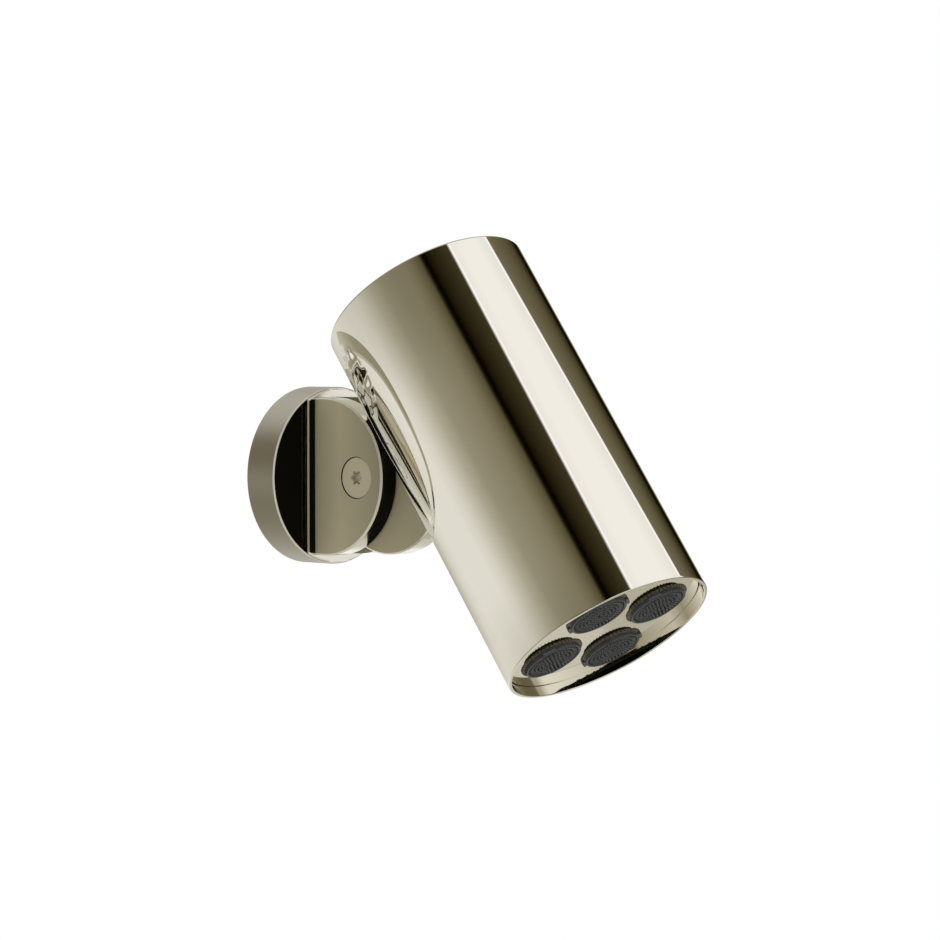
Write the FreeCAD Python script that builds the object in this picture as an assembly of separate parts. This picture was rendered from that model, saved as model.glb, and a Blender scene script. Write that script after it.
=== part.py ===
import FreeCAD, Part
import os
import math

os.makedirs("parts", exist_ok=True)

# Wall-mounted shower head: a round wall flange, a swivelling and tilting knuckle, and a cylinder
# whose recessed plate carries four round spray inserts.
# Frame: the wall is the XZ plane, the room is on the -Y side, +Z is up. The origin is the centre of
# the flange's back face. All sizes are in millimetres.

# Running fits and gaps
RUNNING_FIT = 0.05
FACE_GAP = 0.05
MOVING_GAP = 0.35
SEAM_GAP = 0.20
SCREW_CLEARANCE = 0.20

# Wall flange
FLANGE_R = 30.0
FLANGE_DEPTH = 12.5
FLANGE_CHAMFER = 0.45
FLANGE_WALL = 0.8
RIM_INNER_CHAMFER = 0.15

# Wall body: male G 1/2 thread, base disc and hub
THREAD_R = 10.478
THREAD_LENGTH = 13.0
THREAD_LEAD_IN = 1.0
INLET_R = 7.5
FILTER_SEAT_R = 8.6
FILTER_DEPTH = 2.0
REGULATOR_DEPTH = 3.0
JET_R = 1.1
JET_CIRCLE_R = 4.2
BASE_THICK = 2.6
HUB_R = 17.0
HUB_FRONT = 7.9
STEM_R = 13.0
STEM_BORE_R = 10.2
STEM_END = 3.2
SEAL_SECTION = 1.4
SWIVEL_SEAL_INSET = 0.4
SNAP_SETBACK = 2.4
SNAP_WIDTH = 1.2
SNAP_DEPTH = 0.9
SNAP_PROUD = 0.7
SNAP_OPENING = 3.0
GASKET_INSET = 1.5
GASKET_WIDTH = 7.0
GASKET_THICK = 0.8
REGULATOR_LEDGE = 0.5
SCREEN_THICK = 0.6
SCREEN_INSET = 1.5

# Knuckle fork: bar over the flange's mouth, neck through the slide disc, two cheeks
BAR_BACK = 12.7
BAR_FRONT = 13.6
BAR_HALF_X = 14.3
BAR_R = 29.5
BAR_CHAMFER = 0.4
NECK_BACK = 8.3
NECK_HALF_X = 14.0
NECK_HALF_Z = 24.0
SLIDE_DISC_SINK = 1.2
SLIDE_DISC_GAP = 0.1
CHEEK_HALF_X = 11.5
CHEEK_THICK = 6.95
CHEEK_R = 26.48
CHEEK_CENTRE = 17.9
CHEEK_CHAMFER = 0.6
SLOT_FLOOR = 11.9
CHANNEL_R = 2.0

# Pivot
PIVOT_OUT = 32.8
SLEEVE_R = 6.5
SLEEVE_BORE_R = 4.6
HEAD_R = 6.85
HEAD_THICK = 2.2
HEAD_SINK = 0.10
HEAD_CHAMFER = 0.3
SOCKET_R = 1.75
SOCKET_LOBE_R = 0.6
SOCKET_LOBE_OUT = 1.9
SOCKET_DEPTH = 1.6
SCREW_R = 3.0
SCREW_END_WALL = 2.0
SCREW_TIP_GAP = 1.0
SCREW_SEAL_THICK = 0.8
SLEEVE_LAND = 2.0
WINDOW_R = 1.5
WATER_GROOVE_DEPTH = 1.1
WATER_GROOVE_HALF = 0.9
PIVOT_SEAL_SECTION = 1.3
WASHER_R = 11.0
WASHER_THICK = 0.45

# Tongue
TONGUE_HALF_X = 4.0
TONGUE_R = 25.57
TONGUE_OUT = 39.27
TONGUE_CHAMFER = 0.5

# Shell
SHELL_R = 35.0
SHELL_WALL = 1.2
SHELL_LENGTH = 132.6
SHELL_TOP = 2.0
SHELL_EDGE = 0.3
TILT = 36.04
PIVOT_REACH = 51.94
PIVOT_ABOVE_MIDDLE = 31.37

# Spray end
PLATE_RECESS = 3.6
PLATE_THICK = 2.4
MANIFOLD_THICK = 12.0
LEDGE_WIDTH = 3.0
LEDGE_THICK = 2.0
PLATE_CHAMFER = 0.2
SOCKET_FIT = 0.05
SOCKET_DEEP = 6.0
PORT_R = 3.0
CHAMBER_UP = 7.5
CHAMBER_HEIGHT = 2.5
MANIFOLD_FIT = 0.1
MANIFOLD_SEAL_UP = 7.0
MANIFOLD_SEAL_SECTION = 1.6
FIXING_R = 1.1
FIXING_HEAD_R = 2.2
FIXING_HEAD_THICK = 1.8
FIXING_SINK = 0.2
FIXING_EDGE = 3.3
INSERT_PATTERN_TURN = -6.5
INSERT_SPACING = 0.553
INSERT_STEM_R = 9.6
INSERT_BORE_R = 8.2
INSERT_SEAL_THICK = 1.2
COLLAR_R = 9.95
COLLAR_HEIGHT = 2.1
COLLAR_CHAMFER = 0.3
TOOTH_RING_R = 10.9
TOOTH_TIP = 0.4
TOOTH_COUNT = 48
TOOTH_RING_THICK = 0.6
LUG_REACH = 11.6
LUG_SPREAD = 24.0
GRIP_REACH = 10.35
GRIP_START = 50.0
GRIP_SPREAD = 25.0
NOZZLE_FACE_R = 9.0
NOZZLE_RINGS = 6
NOZZLE_RELIEF = 0.6
NOZZLE_PROUD = 0.1
PAD_SEAT = 0.2
PAD_EDGE_DROP = 0.25

# Inner fastening and feed
SADDLE_HALF_X = 9.0
SADDLE_HALF_Z = 20.0
SADDLE_DEPTH = 8.0
SADDLE_SCREW_PITCH = 28.0
SADDLE_SCREW_R = 2.0
SCREW_HEAD_R = 3.6
SCREW_HEAD_THICK = 2.6
NIPPLE_R = 3.0
NIPPLE_BORE_R = 1.8
NIPPLE_COLLAR = 2.5
NIPPLE_COLLAR_THICK = 3.0
BARB_LENGTH = 7.0
NIPPLE_SEAL_WIDTH = 0.9
NIPPLE_SEAL_HALF = 0.8
HOSE_R = 5.0
HOSE_BORE_R = 3.3
SPIGOT_LENGTH = 8.0

ORIGIN = FreeCAD.Vector(0, 0, 0)
AXES = {
    "X": FreeCAD.Vector(1, 0, 0),
    "Y": FreeCAD.Vector(0, 1, 0),
    "Z": FreeCAD.Vector(0, 0, 1),
}


def at(x, y, z):
    """A point or a direction."""
    return FreeCAD.Vector(x, y, z)


def turned(outline, axis):
    """Solid of revolution from closed (radius, station) corners about a main axis."""
    if axis == "X":
        points = [at(station, radius, 0) for radius, station in outline]
    elif axis == "Y":
        points = [at(radius, station, 0) for radius, station in outline]
    else:
        points = [at(radius, 0, station) for radius, station in outline]
    face = Part.Face(Part.makePolygon(points + points[:1]))
    solid = face.revolve(ORIGIN, AXES[axis], 360)
    if solid.Volume < 0:
        solid.reverse()
    return solid


def ring(inner, outer, start, end, axis):
    """Plain ring of rectangular section, or a disc where the inner radius is 0."""
    return turned([(inner, start), (outer, start), (outer, end), (inner, end)], axis)


def rod(radius, start, direction, length):
    """Cylinder from a point along a direction."""
    return Part.makeCylinder(radius, length, start, direction)


def block(x0, x1, y0, y1, z0, z1):
    """Box between two corners."""
    return Part.makeBox(x1 - x0, y1 - y0, z1 - z0, at(x0, y0, z0))


def moved(shape, x, y, z):
    """Copy of a shape shifted by a vector."""
    result = shape.copy()
    result.translate(at(x, y, z))
    return result


def edges_on(shape, axis, station):
    """Edges whose every vertex lies on one plane across a main axis."""
    index = "XYZ".index(axis)
    found = []
    for edge in shape.Edges:
        low = [edge.BoundBox.XMin, edge.BoundBox.YMin, edge.BoundBox.ZMin][index]
        high = [edge.BoundBox.XMax, edge.BoundBox.YMax, edge.BoundBox.ZMax][index]
        if abs(low - station) < 0.001 and abs(high - station) < 0.001:
            found.append(edge)
    return found


def save(name, *shapes):
    """Write one node as its own file, as one solid or a group of separate solids."""
    solids = []
    for shape in shapes:
        solids.extend(shape.removeSplitter().Solids)
    result = solids[0] if len(solids) == 1 else Part.makeCompound(solids)
    result.exportStep("parts/" + name + ".step")


# Wall body: the base disc lies on the wall, the hub carries the fork's stem
flange_inner = FLANGE_R - FLANGE_WALL
base_r = flange_inner - SEAL_SECTION / 2
seal_floor = base_r - SEAL_SECTION / 2
stem_hole = STEM_R + RUNNING_FIT
snap_station = HUB_FRONT - SNAP_SETBACK
snap_inner = STEM_R - SNAP_DEPTH
snap_outer = STEM_R + SNAP_PROUD
seal_mid = BASE_THICK / 2

wall_body = turned([
    (INLET_R, THREAD_LENGTH),
    (THREAD_R - THREAD_LEAD_IN, THREAD_LENGTH),
    (THREAD_R, THREAD_LENGTH - THREAD_LEAD_IN),
    (THREAD_R, 0),
    (base_r, 0),
    (base_r, -BASE_THICK),
    (HUB_R, -BASE_THICK),
    (HUB_R, -HUB_FRONT),
    (stem_hole, -HUB_FRONT),
    (stem_hole, -BASE_THICK),
    (INLET_R, -BASE_THICK),
], "Y")
seal_groove = ring(seal_floor, base_r + 1, -seal_mid - SEAL_SECTION / 2, -seal_mid + SEAL_SECTION / 2, "Y")
filter_seat = ring(0, FILTER_SEAT_R, THREAD_LENGTH - FILTER_DEPTH, THREAD_LENGTH + 1, "Y")
regulator_end = THREAD_LENGTH - FILTER_DEPTH - REGULATOR_DEPTH
regulator_r = INLET_R + REGULATOR_LEDGE
regulator_seat = ring(0, regulator_r, regulator_end, THREAD_LENGTH, "Y")
snap_room = ring(
    stem_hole - 1, snap_outer + MOVING_GAP,
    -snap_station - FACE_GAP, -snap_station + SNAP_WIDTH + FACE_GAP, "Y",
)
gasket_inner = HUB_R + GASKET_INSET
gasket_outer = gasket_inner + GASKET_WIDTH
gasket_room = ring(gasket_inner, gasket_outer, -GASKET_THICK, 1, "Y")
wall_body = wall_body.cut(seal_groove).cut(filter_seat).cut(regulator_seat).cut(snap_room).cut(gasket_room)
save("wall_body", wall_body)
save("wall_gasket", ring(gasket_inner, gasket_outer, -GASKET_THICK, 0, "Y"))
save("flange_seal", ring(
    seal_floor, flange_inner, -seal_mid - SEAL_SECTION / 2, -seal_mid + SEAL_SECTION / 2, "Y",
))

# Flow parts in the thread's mouth
screen_r = INLET_R - SCREEN_INSET
filter_dish = turned([
    (0, THREAD_LENGTH - SCREEN_THICK),
    (screen_r, THREAD_LENGTH - SCREEN_THICK),
    (screen_r, THREAD_LENGTH),
    (FILTER_SEAT_R, THREAD_LENGTH),
    (FILTER_SEAT_R, THREAD_LENGTH - FILTER_DEPTH),
    (screen_r - SCREEN_THICK, THREAD_LENGTH - FILTER_DEPTH),
    (screen_r - SCREEN_THICK, THREAD_LENGTH - 2 * SCREEN_THICK),
    (0, THREAD_LENGTH - 2 * SCREEN_THICK),
], "Y")
save("inlet_filter", filter_dish)
regulator = rod(regulator_r, at(0, regulator_end, 0), AXES["Y"], REGULATOR_DEPTH)
regulator_holes = 6
for index in range(regulator_holes):
    turn = 2 * math.pi * index / regulator_holes
    spot = at(JET_CIRCLE_R * math.cos(turn), regulator_end - 1, JET_CIRCLE_R * math.sin(turn))
    hole = rod(JET_R, spot, AXES["Y"], REGULATOR_DEPTH + 2)
    regulator = regulator.cut(hole)
save("flow_regulator", regulator)

# Flange ring: a drawn cover whose front edge is broken by a fine chamfer
save("flange_ring", turned([
    (flange_inner, 0),
    (FLANGE_R, 0),
    (FLANGE_R, -FLANGE_DEPTH + FLANGE_CHAMFER),
    (FLANGE_R - FLANGE_CHAMFER, -FLANGE_DEPTH),
    (flange_inner + RIM_INNER_CHAMFER, -FLANGE_DEPTH),
    (flange_inner, -FLANGE_DEPTH + RIM_INNER_CHAMFER),
], "Y"))

# Knuckle fork: a bar cut from a disc lies over the flange's mouth, a neck goes back through the
# slide disc, a hollow stem turns in the hub, and two rounded cheeks stand out on the front
bar_disc = turned([
    (0, -BAR_BACK),
    (BAR_R, -BAR_BACK),
    (BAR_R, -BAR_FRONT + BAR_CHAMFER),
    (BAR_R - BAR_CHAMFER, -BAR_FRONT),
    (0, -BAR_FRONT),
], "Y")
bar = bar_disc.common(block(-BAR_HALF_X, BAR_HALF_X, -BAR_FRONT, -BAR_BACK, -BAR_R, BAR_R))
neck = block(-NECK_HALF_X, NECK_HALF_X, -BAR_BACK, -NECK_BACK, -NECK_HALF_Z, NECK_HALF_Z)
cheek_root = block(-CHEEK_HALF_X, CHEEK_HALF_X, -CHEEK_CENTRE, -BAR_BACK, -CHEEK_R, CHEEK_R)
cheek_end = rod(CHEEK_R, at(-CHEEK_HALF_X, -CHEEK_CENTRE, 0), AXES["X"], 2 * CHEEK_HALF_X)
room_side = block(-CHEEK_HALF_X, CHEEK_HALF_X, -CHEEK_CENTRE - CHEEK_R, -CHEEK_CENTRE, -CHEEK_R, CHEEK_R)
cheeks = cheek_root.fuse(cheek_end.common(room_side)).removeSplitter()
outer_edges = edges_on(cheeks, "X", -CHEEK_HALF_X) + edges_on(cheeks, "X", CHEEK_HALF_X)
rounded = [edge for edge in outer_edges if edge.BoundBox.YMin < -BAR_BACK - 0.001]
cheeks = cheeks.makeChamfer(CHEEK_CHAMFER, rounded)
stem = ring(STEM_BORE_R, STEM_R, -NECK_BACK, -STEM_END, "Y")
fork = bar.fuse(neck).fuse(cheeks).fuse(stem)

# Slide disc: a polished disc round the neck that closes the flange's mouth on both sides
slide_r = flange_inner - MOVING_GAP
slide_disc = ring(0, slide_r, -NECK_BACK, -FLANGE_DEPTH + SLIDE_DISC_SINK, "Y")
neck_room = block(
    -NECK_HALF_X - SLIDE_DISC_GAP, NECK_HALF_X + SLIDE_DISC_GAP, -BAR_BACK, 0,
    -NECK_HALF_Z - SLIDE_DISC_GAP, NECK_HALF_Z + SLIDE_DISC_GAP,
)
save("slide_disc", slide_disc.cut(neck_room))

slot_half = CHEEK_HALF_X - CHEEK_THICK
slot = block(-slot_half, slot_half, -CHEEK_CENTRE - CHEEK_R - 1, -SLOT_FLOOR, -FLANGE_R, FLANGE_R)
fork = fork.cut(slot)

bore_end = slot_half + SLEEVE_LAND
pivot_y = -PIVOT_OUT
sleeve_hole = rod(SLEEVE_R, at(-CHEEK_HALF_X - 1, pivot_y, 0), AXES["X"], CHEEK_HALF_X + 1 + bore_end)
head_room_start = at(-CHEEK_HALF_X - 1, pivot_y, 0)
head_room = rod(HEAD_R + SCREW_CLEARANCE, head_room_start, AXES["X"], 1 + HEAD_SINK + HEAD_THICK)
screw_hole = rod(SCREW_R, at(0, pivot_y, 0), AXES["X"], CHEEK_HALF_X - SCREW_END_WALL + SCREW_TIP_GAP)
fork = fork.cut(sleeve_hole).cut(head_room).cut(screw_hole)
channel_x = -(CHEEK_HALF_X + slot_half) / 2
channel = rod(CHANNEL_R, at(channel_x, pivot_y + SLEEVE_R - 1, 0), AXES["Y"], PIVOT_OUT - SLEEVE_R - STEM_END)
snap_groove = ring(snap_inner, STEM_R + 1, -snap_station, -snap_station + SNAP_WIDTH, "Y")
fork = fork.cut(channel).cut(snap_groove)
save("knuckle_fork", fork)

# Snap ring with its gap, and the stem's face seal against the base disc
snap_ring = ring(snap_inner, snap_outer, -snap_station, -snap_station + SNAP_WIDTH, "Y")
snap_gap = block(-SNAP_OPENING / 2, SNAP_OPENING / 2, -HUB_FRONT, 0, 0, HUB_R)
save("swivel_snap_ring", snap_ring.cut(snap_gap))
save("swivel_seal", ring(
    STEM_BORE_R + SWIVEL_SEAL_INSET, STEM_R - SWIVEL_SEAL_INSET, -STEM_END, -BASE_THICK - FACE_GAP, "Y",
))

# Pivot: sleeve, screw, seal and friction washers
def on_pivot(shape):
    """Shift a shape built about the X axis to the pivot."""
    return moved(shape, 0, pivot_y, 0)


sleeve_start = -CHEEK_HALF_X + HEAD_SINK + HEAD_THICK
sleeve = ring(SLEEVE_BORE_R, SLEEVE_R, sleeve_start + SCREW_SEAL_THICK, bore_end, "X")
water_windows = rod(WINDOW_R, at(0, 0, -SLEEVE_R - 1), AXES["Z"], 2 * SLEEVE_R + 2)
channel_window = rod(WINDOW_R, at(channel_x, 0, 0), AXES["Y"], SLEEVE_R + 1)
save("pivot_sleeve", on_pivot(sleeve.cut(water_windows).cut(channel_window)))
save("screw_seal", on_pivot(ring(SCREW_R, SLEEVE_R, sleeve_start, sleeve_start + SCREW_SEAL_THICK, "X")))

head_face = -CHEEK_HALF_X + HEAD_SINK
screw_end = CHEEK_HALF_X - SCREW_END_WALL
pivot_screw = turned([
    (0, head_face),
    (HEAD_R - HEAD_CHAMFER, head_face),
    (HEAD_R, head_face + HEAD_CHAMFER),
    (HEAD_R, sleeve_start),
    (SCREW_R, sleeve_start),
    (SCREW_R, screw_end),
    (0, screw_end),
], "X")
pivot_screw = pivot_screw.cut(rod(SOCKET_R, at(head_face - 1, 0, 0), AXES["X"], 1 + SOCKET_DEPTH))
for index in range(6):
    turn = math.pi * index / 3
    lobe = at(head_face - 1, SOCKET_LOBE_OUT * math.cos(turn), SOCKET_LOBE_OUT * math.sin(turn))
    pivot_screw = pivot_screw.cut(rod(SOCKET_LOBE_R, lobe, AXES["X"], 1 + SOCKET_DEPTH))
save("pivot_screw", on_pivot(pivot_screw))

washer = ring(SLEEVE_R, WASHER_R, slot_half - WASHER_THICK, slot_half, "X")
opposite = ring(SLEEVE_R, WASHER_R, -slot_half, -slot_half + WASHER_THICK, "X")
save("friction_washers", on_pivot(washer), on_pivot(opposite))


# Head: built upright about its own Z axis with the shell's middle at the origin and the wall on +Y,
# then hung on the pivot and tilted
def hung(shape):
    """Place an upright head shape on the pivot at the rest tilt."""
    result = shape.copy()
    result.translate(at(0, -PIVOT_REACH, -PIVOT_ABOVE_MIDDLE))
    result.rotate(ORIGIN, AXES["X"], -TILT)
    result.translate(at(0, pivot_y, 0))
    return result


def upright(y, z):
    """Upright coordinates of a point given in the wall frame."""
    turn = math.radians(TILT)
    dy = y - pivot_y
    return (
        PIVOT_REACH + dy * math.cos(turn) - z * math.sin(turn),
        PIVOT_ABOVE_MIDDLE + dy * math.sin(turn) + z * math.cos(turn),
    )


rim_z = -SHELL_LENGTH / 2
top_z = SHELL_LENGTH / 2
shell_inner = SHELL_R - SHELL_WALL
plate_front = rim_z + PLATE_RECESS
plate_back = plate_front + PLATE_THICK
manifold_back = plate_back + MANIFOLD_THICK

# Tongue: a round lug cut to the shell's outside, its two rounded edges chamfered
tongue_y, tongue_z = upright(-TONGUE_OUT, 0)
shell_blank = rod(SHELL_R, at(0, 0, rim_z), AXES["Z"], SHELL_LENGTH)
lug = rod(TONGUE_R, at(-TONGUE_HALF_X, tongue_y, tongue_z), AXES["X"], 2 * TONGUE_HALF_X).cut(shell_blank)
side_edges = edges_on(lug, "X", -TONGUE_HALF_X) + edges_on(lug, "X", TONGUE_HALF_X)
lug = lug.makeChamfer(TONGUE_CHAMFER, [edge for edge in side_edges if edge.BoundBox.YMax > tongue_y])
pivot_point = at(-TONGUE_HALF_X - 1, PIVOT_REACH, PIVOT_ABOVE_MIDDLE)
tongue_bore = rod(SLEEVE_R + RUNNING_FIT, pivot_point, AXES["X"], 2 * TONGUE_HALF_X + 2)
water_groove = ring(
    SLEEVE_R - 1, SLEEVE_R + WATER_GROOVE_DEPTH, -WATER_GROOVE_HALF, WATER_GROOVE_HALF, "X",
)
water_groove = moved(water_groove, 0, PIVOT_REACH, PIVOT_ABOVE_MIDDLE)
seal_inner = SLEEVE_R + RUNNING_FIT
seal_outer = seal_inner + PIVOT_SEAL_SECTION
tongue = lug.cut(tongue_bore).cut(water_groove)
seals = []
for side in (-1, 1):
    near, far = sorted((side * 0.4 * TONGUE_HALF_X, side * 0.75 * TONGUE_HALF_X))
    groove = ring(SLEEVE_R - 1, seal_outer, near, far, "X")
    tongue = tongue.cut(moved(groove, 0, PIVOT_REACH, PIVOT_ABOVE_MIDDLE))
    seals.append(moved(ring(seal_inner, seal_outer, near, far, "X"), 0, PIVOT_REACH, PIVOT_ABOVE_MIDDLE))
bore_room = PIVOT_REACH - SLEEVE_R - SHELL_R
nipple_tip = SHELL_R + 0.5 * bore_room
screw_tip = SHELL_R + 0.75 * bore_room
inward = at(0, -1, 0)
channel_start = at(0, PIVOT_REACH - SLEEVE_R, PIVOT_ABOVE_MIDDLE)
feed_channel = rod(NIPPLE_BORE_R, channel_start, inward, bore_room + 1)
nipple_hole = rod(NIPPLE_R, at(0, nipple_tip, PIVOT_ABOVE_MIDDLE), inward, nipple_tip - SHELL_R + 1)
tongue = tongue.cut(feed_channel).cut(nipple_hole)
screw_stations = [PIVOT_ABOVE_MIDDLE - SADDLE_SCREW_PITCH / 2, PIVOT_ABOVE_MIDDLE + SADDLE_SCREW_PITCH / 2]
for station in screw_stations:
    tongue = tongue.cut(rod(SADDLE_SCREW_R, at(0, screw_tip, station), inward, screw_tip))
save("pivot_seals", *[hung(seal) for seal in seals])

# Shell: closed at the top, open at the spray end, with an inner ledge for the manifold
shell = turned([
    (0, top_z),
    (SHELL_R - SHELL_EDGE, top_z),
    (SHELL_R, top_z - SHELL_EDGE),
    (SHELL_R, rim_z + SHELL_EDGE / 2),
    (SHELL_R - SHELL_EDGE / 2, rim_z),
    (shell_inner, rim_z),
    (shell_inner, manifold_back),
    (shell_inner - LEDGE_WIDTH, manifold_back),
    (shell_inner - LEDGE_WIDTH, manifold_back + LEDGE_THICK),
    (shell_inner, manifold_back + LEDGE_THICK),
    (shell_inner, top_z - SHELL_TOP),
    (0, top_z - SHELL_TOP),
], "Z")
for station in screw_stations:
    screw_path = rod(SADDLE_SCREW_R + SCREW_CLEARANCE, at(0, SHELL_R + 1, station), inward, SHELL_WALL + 3)
    shell = shell.cut(screw_path)
outer_foot = at(0, SHELL_R + 1, PIVOT_ABOVE_MIDDLE)
shell = shell.cut(rod(NIPPLE_R + SCREW_CLEARANCE, outer_foot, inward, SHELL_WALL + 3))

# Saddle, its two screws, and the hollow nipple that lets the water through the shell's wall
inner_blank = rod(shell_inner, at(0, 0, rim_z), AXES["Z"], SHELL_LENGTH)
saddle_flat = SHELL_R - SADDLE_DEPTH
saddle = block(
    -SADDLE_HALF_X, SADDLE_HALF_X, saddle_flat, SHELL_R,
    PIVOT_ABOVE_MIDDLE - SADDLE_HALF_Z, PIVOT_ABOVE_MIDDLE + SADDLE_HALF_Z,
).common(inner_blank)
saddle_screws = []
for station in screw_stations:
    saddle = saddle.cut(rod(SADDLE_SCREW_R + SCREW_CLEARANCE, at(0, SHELL_R + 1, station), inward, SHELL_R))
    head = rod(SCREW_HEAD_R, at(0, saddle_flat, station), inward, SCREW_HEAD_THICK)
    shank = rod(SADDLE_SCREW_R, at(0, screw_tip - 1, station), inward, screw_tip - 1 - saddle_flat)
    saddle_screws.append(head.fuse(shank))
saddle = saddle.cut(rod(NIPPLE_R + SCREW_CLEARANCE, outer_foot, inward, SHELL_R))
save("inner_saddle", hung(saddle))
save("saddle_screws", *[hung(screw) for screw in saddle_screws])

nipple_end = saddle_flat - NIPPLE_COLLAR_THICK - BARB_LENGTH
nipple_foot = at(0, saddle_flat, PIVOT_ABOVE_MIDDLE)
nipple = rod(NIPPLE_R, at(0, nipple_tip, PIVOT_ABOVE_MIDDLE), inward, nipple_tip - saddle_flat)
nipple = nipple.fuse(rod(NIPPLE_R + NIPPLE_COLLAR, nipple_foot, inward, NIPPLE_COLLAR_THICK))
nipple = nipple.fuse(rod(HOSE_BORE_R, nipple_foot, inward, NIPPLE_COLLAR_THICK + BARB_LENGTH))
bore_start = at(0, nipple_tip + 1, PIVOT_ABOVE_MIDDLE)
nipple = nipple.cut(rod(NIPPLE_BORE_R, bore_start, inward, nipple_tip + 2 - nipple_end))
save("feed_nipple", hung(nipple))

# Shell seal: a flat ring let into the inside of the tongue's seat around the nipple
seat_top = at(0, SHELL_R + NIPPLE_SEAL_HALF, PIVOT_ABOVE_MIDDLE)
seal_seat = rod(NIPPLE_R + NIPPLE_SEAL_WIDTH, seat_top, inward, 2 * NIPPLE_SEAL_HALF)
nipple_seal = seal_seat.cut(rod(NIPPLE_R, at(0, SHELL_R + 2, PIVOT_ABOVE_MIDDLE), inward, 4))
shell = shell.cut(seal_seat)
tongue = tongue.cut(seal_seat)
save("knuckle_tongue", hung(tongue))
save("shell", hung(shell))
save("nipple_seal", hung(nipple_seal))

# Feed hose: from the nipple's barb, round one bend, down to the manifold's spigot
hose_start = saddle_flat - NIPPLE_COLLAR_THICK
bend_r = 0.75 * hose_start
bend_mid = bend_r * (1 - math.cos(math.pi / 4))
path = Part.Wire([
    Part.makeLine(at(0, hose_start, PIVOT_ABOVE_MIDDLE), at(0, bend_r, PIVOT_ABOVE_MIDDLE)),
    Part.Arc(
        at(0, bend_r, PIVOT_ABOVE_MIDDLE),
        at(0, bend_mid, PIVOT_ABOVE_MIDDLE - bend_mid),
        at(0, 0, PIVOT_ABOVE_MIDDLE - bend_r),
    ).toShape(),
    Part.makeLine(at(0, 0, PIVOT_ABOVE_MIDDLE - bend_r), at(0, 0, manifold_back)),
])


def pipe(radius):
    """Round section swept along the hose's path."""
    section = Part.Wire(Part.makeCircle(radius, at(0, hose_start, PIVOT_ABOVE_MIDDLE), inward))
    return path.makePipeShell([section], True, True)


hose = pipe(HOSE_R).cut(pipe(HOSE_BORE_R))
save("feed_hose", hung(hose))

# Manifold: round chamber with a spigot, four sockets, a seal groove and four fixing screws
plate_r = shell_inner - SEAM_GAP
insert_circle_r = INSERT_SPACING * plate_r
insert_spots = []
insert_turns = []
for index in range(4):
    turn = math.radians(INSERT_PATTERN_TURN) + (1.5 - index) * math.pi / 2
    insert_spots.append((insert_circle_r * math.cos(turn), insert_circle_r * math.sin(turn)))
    insert_turns.append(math.degrees(turn - math.pi / 2))
manifold_r = shell_inner - MANIFOLD_FIT
manifold_seal_z = plate_back + MANIFOLD_SEAL_UP
manifold = rod(manifold_r, at(0, 0, plate_back), AXES["Z"], MANIFOLD_THICK)
manifold = manifold.fuse(rod(HOSE_BORE_R, at(0, 0, manifold_back), AXES["Z"], SPIGOT_LENGTH))
manifold = manifold.cut(ring(
    manifold_r - MANIFOLD_SEAL_SECTION, manifold_r + 1,
    manifold_seal_z, manifold_seal_z + MANIFOLD_SEAL_SECTION, "Z",
))
fixing_circle_r = manifold_r - FIXING_EDGE
chamber_r = fixing_circle_r - FIXING_EDGE
chamber = rod(chamber_r, at(0, 0, plate_back + CHAMBER_UP), AXES["Z"], CHAMBER_HEIGHT)
manifold = manifold.cut(chamber)
spigot_bore = rod(NIPPLE_BORE_R, at(0, 0, plate_back + CHAMBER_UP), AXES["Z"], MANIFOLD_THICK + SPIGOT_LENGTH)
manifold = manifold.cut(spigot_bore)
for x, y in insert_spots:
    socket = rod(INSERT_STEM_R + SOCKET_FIT, at(x, y, plate_back - 1), AXES["Z"], 1 + SOCKET_DEEP)
    port = rod(PORT_R, at(x, y, plate_back), AXES["Z"], CHAMBER_UP + CHAMBER_HEIGHT / 2)
    manifold = manifold.cut(socket).cut(port)
head_end = plate_back + FIXING_SINK + FIXING_HEAD_THICK
fixings = []
for index in range(4):
    turn = math.radians(INSERT_PATTERN_TURN) + index * math.pi / 2
    x = fixing_circle_r * math.cos(turn)
    y = fixing_circle_r * math.sin(turn)
    spot = at(x, y, plate_back)
    manifold = manifold.cut(rod(FIXING_R + SOCKET_FIT, spot, AXES["Z"], MANIFOLD_THICK + 1))
    manifold = manifold.cut(rod(FIXING_HEAD_R + SOCKET_FIT, spot, AXES["Z"], head_end - plate_back))
    head = rod(FIXING_HEAD_R, at(x, y, head_end - FIXING_HEAD_THICK), AXES["Z"], FIXING_HEAD_THICK)
    fixings.append(head.fuse(rod(FIXING_R, at(x, y, head_end), AXES["Z"], manifold_back - head_end)))
save("spray_manifold", hung(manifold))
save("manifold_seal", hung(ring(
    manifold_r - MANIFOLD_SEAL_SECTION, shell_inner,
    manifold_seal_z, manifold_seal_z + MANIFOLD_SEAL_SECTION, "Z",
)))
save("manifold_screws", *[hung(fixing) for fixing in fixings])

# Face plate: recessed disc with four holes
plate = turned([
    (0, plate_front),
    (plate_r - PLATE_CHAMFER, plate_front),
    (plate_r, plate_front + PLATE_CHAMFER),
    (plate_r, plate_back),
    (0, plate_back),
], "Z")
for x, y in insert_spots:
    plate = plate.cut(rod(INSERT_STEM_R + SOCKET_FIT, at(x, y, plate_front - 1), AXES["Z"], PLATE_THICK + 2))
save("face_plate", hung(plate))

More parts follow.
